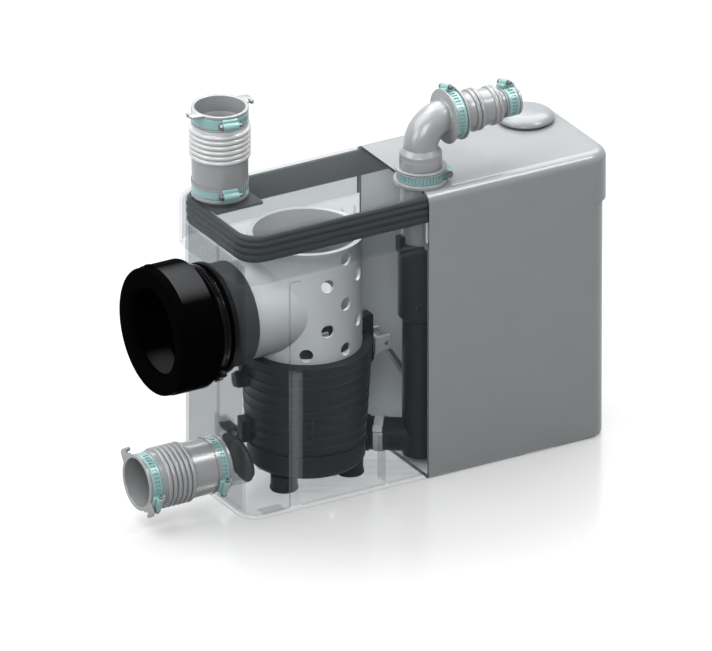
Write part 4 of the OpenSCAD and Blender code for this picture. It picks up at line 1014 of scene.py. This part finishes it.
@dataclass
class Outlet:
    """The swivelling outlet over the lid: riser, elbow, sleeve and their clips.

    Args:
        axis: Where the riser's axis stands.
        bend_z: Height at which the bend starts.
        bend_r: Radius of the bend along its middle.
        outer: Outer radius of the elbow.
        bore: Inner radius of the elbow.
        clip_z: Height of the riser's clip.
    """

    axis: tuple[float, float] = (10.0, -33.0)
    bend_z: float = 335.6
    bend_r: float = 25.4
    outer: float = 16.8
    bore: float = 13.5
    clip_z: float = 308.25

    def build(self) -> None:
        """Models the riser, the elbow, the sleeve and the clips."""
        x, y = self.axis
        riser = spun(rounded([
            (16.5, 223, 0.4), (19.6, 223, 0.4), (19.6, 300, 0), (26.3, 300, 0.7), (26.3, 304, 0.7),
            (22, 304, 0), (22, 312.5, 0), (24.9, 312.5, 0.5), (24.9, 313.9, 0.4), (23.3, 313.9, 0),
            (23.3, 314.6, 0), (24.9, 314.6, 0.4), (24.9, 316, 0.5), (16.5, 316, 0.4)], 3), 112)
        end = (x + self.bend_r + 3, y, self.bend_z + self.bend_r)
        for name, piece, turn, shift, body, node in (
            ("riser_stub", riser, UNTURNED, (x, y, 0), "root", "riser"),
            ("elbow_bend", self.elbow(), UNTURNED, (x, y, 0), "elbow", "outlet_elbow"),
            ("outlet_sleeve_ringed", self.sleeve(), ALONG_X, end, "elbow", "outlet_sleeve"),
        ):
            finished(name, placed(piece, turn, shift), SLEEVE, Slot.SLEEVE, body, node)
        self.clips()

    def elbow(self) -> Piece:
        """Models the socket, the bend and the flanged spigot in one piece.

        Returns:
            The elbow, with its socket's axis on Z.
        """
        top, outer, bore = self.bend_z, self.outer, self.bore
        socket = spun(rounded([
            (bore, 290, 0.4), (16.45, 290, 0.5), (16.45, 316.05, 0), (20.6, 316.05, 0.5),
            (20.6, 325.4, 0.15), (20.45, 325.6, 0), (20.45, 330.6, 3.0), (outer, top, 0),
            (bore, top, 0)], 5))
        start_clean()
        bpy.ops.mesh.primitive_circle_add(vertices=96, radius=outer * MM, fill_type="NGON",
                                          location=(0, 0, top * MM))
        bend = bpy.context.active_object
        bpy.ops.object.transform_apply(location=True)
        pick_faces(bend, lambda face: True)
        bpy.ops.mesh.inset(thickness=(outer - bore) * MM)
        bpy.ops.mesh.delete(type="FACE")
        select_mesh()
        pivot = (self.bend_r * MM, 0, top * MM)
        bpy.ops.mesh.spin(steps=28, angle=math.pi / 2, center=pivot, axis=(0, -1, 0))
        sealed(LINE_MERGE)
        spigot = spun(rounded([
            (bore, 0, 0), (outer, -1.5, 0), (outer, 0, 1.2), (27, 0, 0.5), (27, 1.3, 0.5),
            (16.4, 1.3, 0), (16.4, 33, 0.8), (bore, 33, 0.6)], 4), 112)
        placed(spigot, ALONG_X, (self.bend_r, 0, top + self.bend_r))
        return joined(socket, bend, spigot)

    def sleeve(self) -> Piece:
        """Models the outlet sleeve with its two pairs of beads.

        Returns:
            The sleeve round Z.
        """
        first = rounded([(16.45, -1.6, 0.3), (22.6, -1.6, 0), (22.6, 10.8, 0), (25.6, 10.8, 0.5),
                         (25.6, 12.4, 0.5), (20.2, 12.4, 0.6), (18.8, 21, 0)], 3)
        beads: Outline = []
        steps, half = 8, 2.4
        for low, base, peak in ((23.5, 18.8, 21.1), (28.6, 18.6, 21.1), (44.9, 17.6, 19.6),
                                (49.4, 17.0, 19.1)):
            for k in range(steps + 1):
                t = math.pi * k / steps
                beads.append((base + (peak - base) * math.sin(t), low + half * (1 - math.cos(t))))
        last = rounded([(15.6, 54.6, 0.6), (13.7, 56.4, 0.6), (13.7, 59.4, 0), (15, 59.4, 0.4), (15, 61, 0.4),
                        (13.7, 61, 0), (13.7, 73.6, 0), (15, 73.6, 0.4), (15, 76, 0.5), (11.1, 76, 0.6),
                        (11.1, 42, 0), (12.5, 42, 0), (12.5, 36, 0), (16.45, 36, 0)], 3)
        return spun(first + beads + last, 112)

    def clips(self) -> None:
        """Sets the riser's clip and the sleeve's two clips."""
        x, y = self.axis
        up = HoseClip(seat=22.0, width=8.4, steps=84, pattern=Pattern.ALL_ROUND, slot_half=2.9)
        band, screw = (placed(part, turn_about("Z", -22), (x, y, self.clip_z)) for part in up.build())
        finished("riser_clip_slotted", band, TEAL, Slot.CLIP, "root", "riser_clip")
        finished("riser_clip_slotted_screw", screw, SCREW, Slot.STEEL, "root", "riser_clip_screw")
        turn = ALONG_X @ turn_about("Z", 162)
        screws = []
        for name, seat, steps, along, node in (("sleeve_clip_wide", 22.6, 84, 43.0, "outlet_clip_large"),
                                               ("sleeve_clip_end", 13.7, 56, 105.8, "outlet_clip_small")):
            clip = HoseClip(seat=seat, width=11.4, steps=steps, pattern=Pattern.ALL_ROUND, half_housing=7.0)
            shift = (along, y, self.bend_z + self.bend_r)
            band, screw = (placed(part, turn, shift) for part in clip.build())
            finished(name, band, TEAL, Slot.CLIP, "elbow", node)
            screws.append(screw)
        finished("outlet_screws", joined(*screws), SCREW, Slot.STEEL, "elbow", "outlet_clip_screws")


@dataclass
class Boot:
    """The black rubber boot that takes the pan's outlet, and its band.

    Args:
        base: X of the collar's face that it sits against.
        height: Height of its axis.
        radius: Its outer radius.
        length: Its length.
        nub_turn: Where round the boot its nub stands.
        lug_turn: Where round the boot the band's lugs stand.
    """

    base: float = -206.0
    height: float = 191.0
    radius: float = 63.5
    length: float = 62.0
    nub_turn: float = 15.0
    lug_turn: float = 222.0

    def build(self) -> None:
        """Models the boot, and the split band on its neck."""
        place = (self.base, 0, self.height)
        finished("boot_shell", placed(self.shell(), AGAINST_X, place), BOOT, Slot.BOOT, "root", "wc_boot")
        finished("boot_band_ring", placed(self.band(), AGAINST_X, place), BAND, Slot.BOOT, "root",
                 "boot_band")

    def shell(self) -> Piece:
        """Models the boot, its nub and its liner.

        Returns:
            The boot round Z.
        """
        end, radius = self.length, self.radius
        shell = spun(rounded([
            (47.8, 0, 0.3), (53.3, 0, 0.5), (53.3, 2.5, 0.5), (51.8, 2.5, 0), (51.8, 12.8, 0.8),
            (56.6, 13.6, 1.2), (radius, 20.6, 1.6), (radius, 52.5, 0), (62.6, 53.2, 0.4), (62.6, end, 2.6),
            (46, end, 0.8), (42, 58, 0.8), (42, 53, 1.2), (54.5, 53, 2.5), (54.5, 18, 2.5),
            (47.8, 18, 0.4)], 4), 144)
        nub = placed(block((3.4, 9, 5.5), (radius - 0.2, 0, 54.6), 0.9), turn_about("Z", self.nub_turn))
        liner = spun([(43.4, 17.3), (54.0, 17.3), (54.0, 16.5), (44.1, 16.5), (44.1, -22), (43.4, -22)])
        return joined(shell, nub, liner)

    def band(self) -> Piece:
        """Models the split band with its two lugs and the pin through them.

        Returns:
            The band round Z.
        """
        ring = spun(rounded([
            (52.45, 4, 0), (54.2, 4, 0.7), (54.2, 7, 0), (53.6, 7.6, 0.3), (53.6, 8.4, 0.3), (54.2, 9, 0),
            (54.2, 12, 0.7), (52.45, 12, 0)], 3), 120)
        lugs = [block((8, 6.6, 8), (56.9, side * 4.6, 8), 1.0) for side in (-1, 1)]
        pin = spun(rounded([(0, -8.8, 0), (2.6, -8.8, 0.6), (2.6, -7.4, 0.3), (1.5, -7.4, 0),
                            (1.5, 7.4, 0), (2.6, 7.4, 0.3), (2.6, 8.8, 0.6), (0, 8.8, 0)], 3), 24)
        placed(pin, turn_about("X", 90), (58.3, 0, 8))
        return joined(ring, *(placed(part, turn_about("Z", self.lug_turn)) for part in (*lugs, pin)))


@dataclass
class RimGasket:
    """The ribbed rubber between the tank and the lid.

    Args:
        size: Its length and depth.
        centre: Its middle.
        radius: Radius of its corners.
        low: Height of its lower edge.
        tall: Its height.
        thick: Its thickness.
        ribs: Lower edge, upper edge and bulge of each rib, from the lower edge up.
        steps: Faces across each rib.
        corner_steps: Faces round each corner.
    """

    size: tuple[float, float] = (399.6, 132.4)
    centre: Point = (0.0, 1.2, 0.0)
    radius: float = 21.0
    low: float = 269.5
    tall: float = 26.6
    thick: float = 5.6
    ribs: tuple[Point, ...] = ((0.6, 7.4, 1.1), (8.3, 14.6, 1.5), (15.6, 21.4, 1.5), (22.4, 25.6, 0.7))
    steps: int = 6
    corner_steps: int = 10

    def build(self) -> None:
        """Models the gasket from its section."""
        outer: Outline = []
        for start, end, bulge in self.ribs:
            for k in range(self.steps + 1):
                t = k / self.steps
                outer.append((1.5 - bulge * math.sin(math.pi * t), self.low + start + (end - start) * t))
        low, top, thick = self.low, self.low + self.tall, self.thick
        inner = [(1.9, top), (thick - 0.6, top), (thick, top - 0.6), (thick, low + 0.6), (thick - 0.6, low),
                 (2.2, low)]
        finished("ribbed_rim_gasket", self.looped(outer + inner), GASKET, Slot.GASKET, "root", "rim_gasket",
                 angle=50.0)

    def looped(self, section: Outline) -> Piece:
        """Runs a closed section round a rounded rectangle.

        Args:
            section: Inset and height of each point.

        Returns:
            The frame.
        """
        piece = fresh_plane()
        middle = Vector(self.centre) * MM
        inset, height = section[0]
        start = (*(side - 2 * inset for side in self.size), 1)
        bpy.ops.transform.resize(value=start, center_override=(0, 0, 0))
        bpy.ops.transform.translate(value=middle + Vector((0, 0, height)) * MM)
        bpy.ops.mesh.bevel(offset=self.radius * MM, segments=self.corner_steps, affect="VERTICES")
        bpy.ops.mesh.delete(type="ONLY_FACE")
        select_mesh()
        for after, level in section[1:] + section[:1]:
            extruded((0, 0, (level - height) * MM))
            grown = [(side - 2 * after) / (side - 2 * inset) for side in self.size]
            bpy.ops.transform.resize(value=(*grown, 1), center_override=middle)
            inset, height = after, level
        sealed(LOOP_MERGE)
        return piece


@dataclass
class PumpHousing:
    """The pump's housing: a tapered shell with faint rings, its lugs, bosses and row of ports.

    Args:
        axis: Where its axis stands along the case.
        low: Height of its lower edge.
        top: Height of its upper edge.
        foot: Outer radius at the lower edge.
        head: Outer radius at the upper edge.
        bore: Inner radius.
        pitch: Distance between the rings.
        rings: How many rings there are.
        ring: How far a ring stands out.
        reach: How far the bosses reach from the axis.
        lugs: Angle, width, lower end, upper end and reach of each upright lug.
        bosses: Angle of each round boss.
        ports: How many ports there are.
        pad_turn: Where round the axis the pad with the ports stands.
    """

    axis: float = -97.5
    low: float = 46.0
    top: float = 142.0
    foot: float = 57.8
    head: float = 63.5
    bore: float = 52.2
    pitch: float = 11.0
    rings: int = 8
    ring: float = 0.35
    reach: float = 71.0
    lugs: tuple[tuple[float, float, float, float, float], ...] = (
        (0.0, 14.0, 111.0, 157.0, 71.0),
        (168.0, 14.0, 111.0, 142.0, 66.0),
        (168.0, 18.0, 48.0, 70.0, 66.5),
    )
    bosses: tuple[float, ...] = (170.0, 0.0)
    ports: int = 5
    pad_turn: float = -117.0

    def section(self) -> Outline:
        """Draws the wall, its rings and the cap under the strainer.

        Returns:
            Radius and height of each point.
        """
        low, top = self.low, self.top
        rise = (self.head - self.foot) / (top - low)
        wall: Outline = [(self.bore, low), (self.foot - 1, low), (self.foot, low + 1)]
        for i in range(1, self.rings + 1):
            z = low - 3 + self.pitch * i
            r = self.foot + rise * (z - low)
            wall += [(r, z - 0.9), (r + self.ring, z - 0.5), (r + self.ring, z + 0.5), (r, z + 0.9)]
        lip: Outline = [(self.head, top - 0.8), (self.head - 0.8, top), (54.8, top), (54.8, top - 1.2)]
        return wall + lip + [(14.0, top - 1.2), (14.0, top - 4), (self.bore, top - 4)]

    def pad(self) -> Piece:
        """Models the flat pad with its row of sunk ports.

        Returns:
            The pad, towards +X.
        """
        face = self.foot + 2.6
        pad = block((4, 10, 56), (face - 1.4, 0, self.low + 41.6), 0.6)
        for i in range(self.ports):
            cut_out(pad, block((3, 4.6, 5.6), (face + 0.6, 0, self.low + 22.8 + 9.4 * i), 0.4))
        return pad

    def build(self) -> None:
        """Models the wall, the lugs, the bosses and the pad, and joins them."""
        parts = [(spun(self.section(), 144), 0.0)]
        root = self.bore + 2
        for angle, wide, low, high, reach in self.lugs:
            middle = ((reach + root) / 2, 0, (low + high) / 2)
            parts.append((block((reach - root, wide, high - low), middle, 1.2), angle))
        start, height, radius = 54, 113, 8.5
        long = self.reach - start
        for angle in self.bosses:
            boss = spun(rounded([(0, 0, 0), (radius, 0, 0), (radius, long, 0.9), (0, long, 0)]), 48)
            parts.append((placed(boss, ALONG_X, (start, 0, height)), angle))
        parts.append((self.pad(), self.pad_turn))
        housing = joined(*(placed(part, turn_about("Z", angle), (self.axis, 0, 0)) for part, angle in parts))
        finished("ringed_pump_housing", housing, PUMP, Slot.PUMP, "root", "pump_body", angle=40.0)


@dataclass
class VentDome:
    """The domed vent cap on the lid.

    Args:
        centre: Where it stands on the lid.
        radius: Its radius.
        flat: Radius of its flatter middle.
        steps: Faces down its rounded edge.
    """

    centre: Point = (167.0, 37.0, 300.0)
    radius: float = 27.8
    flat: float = 12.0
    steps: int = 12

    def build(self) -> None:
        """Models the dome, with its plug in the lid."""
        crown: Outline = [(0, 11.4), (5, 11.3), (9, 11.1), (self.flat, 10.8)]
        for k in range(1, self.steps + 1):
            t = math.pi / 2 * k / self.steps
            crown.append((self.flat + (self.radius - self.flat) * math.sin(t), 2.8 + 8.0 * math.cos(t)))
        plug = rounded([(self.radius, 0, 0.3), (20, 0, 0), (20, -6, 0.5), (18, -6, 0.5), (18, 4, 0),
                        (0, 4, 0)], 2)
        cap = placed(spun(crown + plug, 112), UNTURNED, self.centre)
        finished("vent_dome", cap, SHELL, Slot.SHELL, "root", "vent_cap")


@dataclass
class Studio:
    """A pale floor, soft lamps and the camera.

    Args:
        azimuth: The camera's azimuth.
        elevation: The camera's elevation.
        target: The point at the picture's middle.
        field_w: Width of what the picture shows.
        lens: Focal length.
        sensor: Width of the sensor.
        lamp_distance: How far the lamps hang from the target, in metres.
        sky: Strength of the even light.
        lamps: Name, azimuth, elevation, size in metres and power in watts of each lamp.
    """

    azimuth: float = -30.0
    elevation: float = 25.0
    target: Point = (-42.2, 0.0, 145.7)
    field_w: float = 681.3
    lens: float = 1400.0
    sensor: float = 36.0
    lamp_distance: float = 1.9
    sky: float = 0.27
    lamps: tuple[tuple[str, float, float, float, float], ...] = (
        ("key_lamp", -118.0, 57.0, 1.7, 46.0),
        ("top_lamp", 140.0, 63.0, 2.0, 72.0),
        ("side_lamp", -80.0, 22.0, 0.8, 13.0),
        ("front_lamp", -36.0, 30.0, 0.8, 18.0),
        ("edge_lamp", 46.0, 52.0, 0.55, 20.0),
    )

    def build(self) -> None:
        """Sets up the camera, the floor, the world and the lamps."""
        self.camera()
        self.floor()
        self.world()
        for name, azimuth, elevation, size, power in self.lamps:
            data = bpy.data.lights.new(name, "AREA")
            data.size = size
            data.energy = power
            self.aimed(name, data, azimuth, elevation, self.lamp_distance)
        settings = bpy.context.scene
        settings.view_settings.view_transform = "Standard"
        settings.cycles.use_denoising = True
        settings.cycles.transparent_max_bounces = 32

    def aimed(self, name: str, data: object, azimuth: float, elevation: float, distance: float) -> Piece:
        """Hangs a camera or lamp somewhere round the target and turns it to the target.

        Args:
            name: Its name.
            data: The camera's or lamp's settings.
            azimuth: Degrees from -Y, turning towards +X.
            elevation: Degrees above the floor.
            distance: Its distance from the target, in metres.

        Returns:
            The camera or lamp.
        """
        thing = bpy.data.objects.new(name, data)
        bpy.context.scene.collection.objects.link(thing)
        a, e = math.radians(azimuth), math.radians(elevation)
        back = Vector((math.sin(a) * math.cos(e), -math.cos(a) * math.cos(e), math.sin(e)))
        thing.location = Vector(self.target) * MM + back * distance
        thing.rotation_mode = "QUATERNION"
        thing.rotation_quaternion = (-back).to_track_quat("-Z", "Y")
        return thing

    def camera(self) -> None:
        """Places the camera at the photograph's viewing angle."""
        distance = self.field_w * MM * self.lens / self.sensor
        data = bpy.data.cameras.new("view_camera")
        data.lens = self.lens
        data.sensor_width = self.sensor
        data.clip_start = 1.0
        data.clip_end = 2 * distance
        bpy.context.scene.camera = self.aimed("view_camera", data, self.azimuth, self.elevation, distance)

    def floor(self) -> None:
        """Lays a white floor that keeps a faint shadow and mirror image near the object."""
        start_clean()
        bpy.ops.mesh.primitive_plane_add(size=8.0)
        floor = bpy.context.active_object
        floor.name = "studio_floor"
        made = bpy.data.materials.new("white_floor")
        made.use_nodes = True
        graph = Graph(made.node_tree)
        plain = graph.wire(made.node_tree.nodes["Principled BSDF"], (0.25, 0.25, 0.25, 1), Roughness=0.9)
        glow = graph.out("Emission", Color=WHITE, Strength=1.0)
        gloss = graph.out("BsdfAnisotropic", Color=WHITE, Roughness=0.17)
        lit = graph.out("BsdfDiffuse", Color=(0.47, 0.47, 0.475, 1))
        place = graph.add("TexCoord").outputs["Object"]
        away = graph.add("VectorMath", place, operation="LENGTH").outputs["Value"]
        lit_share = graph.ranged(away, 0.62, 0.0, From_Min=0.5, From_Max=1.3)
        gloss_share = graph.ranged(away, 0.24, 0.0, From_Min=0.2, From_Max=0.42)
        pale = graph.out("MixShader", lit_share, glow, lit)
        seen = graph.out("MixShader", gloss_share, pale, gloss)
        direct = ray_mask(graph, "Camera", "Glossy")
        graph.show(graph.out("MixShader", direct, plain.outputs[0], seen))
        floor.data.materials.append(made)

    def world(self) -> None:
        """Sets a soft even light, shown as plain white behind the object."""
        world = bpy.data.worlds.new("studio_world")
        bpy.context.scene.world = world
        world.use_nodes = True
        graph = Graph(world.node_tree)
        dim = graph.wire(world.node_tree.nodes["Background"], WHITE, self.sky)
        white = graph.out("Background", WHITE, 1.0)
        direct = ray_mask(graph, "Camera", "Glossy", "Transmission")
        graph.show(graph.out("MixShader", direct, dim.outputs[0], white), "World Output")


def main() -> None:
    """Dresses the pump and sets up its studio."""
    logging.basicConfig(level=logging.INFO, format="%(message)s")
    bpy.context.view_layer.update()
    Studio().build()
    dress_nodes()
    for unit in (Boot(), InletSleeve(), InletClips(), Outlet(), RimGasket(), PumpHousing(), VentDome()):
        unit.build()


if __name__ == "__main__":
    main()
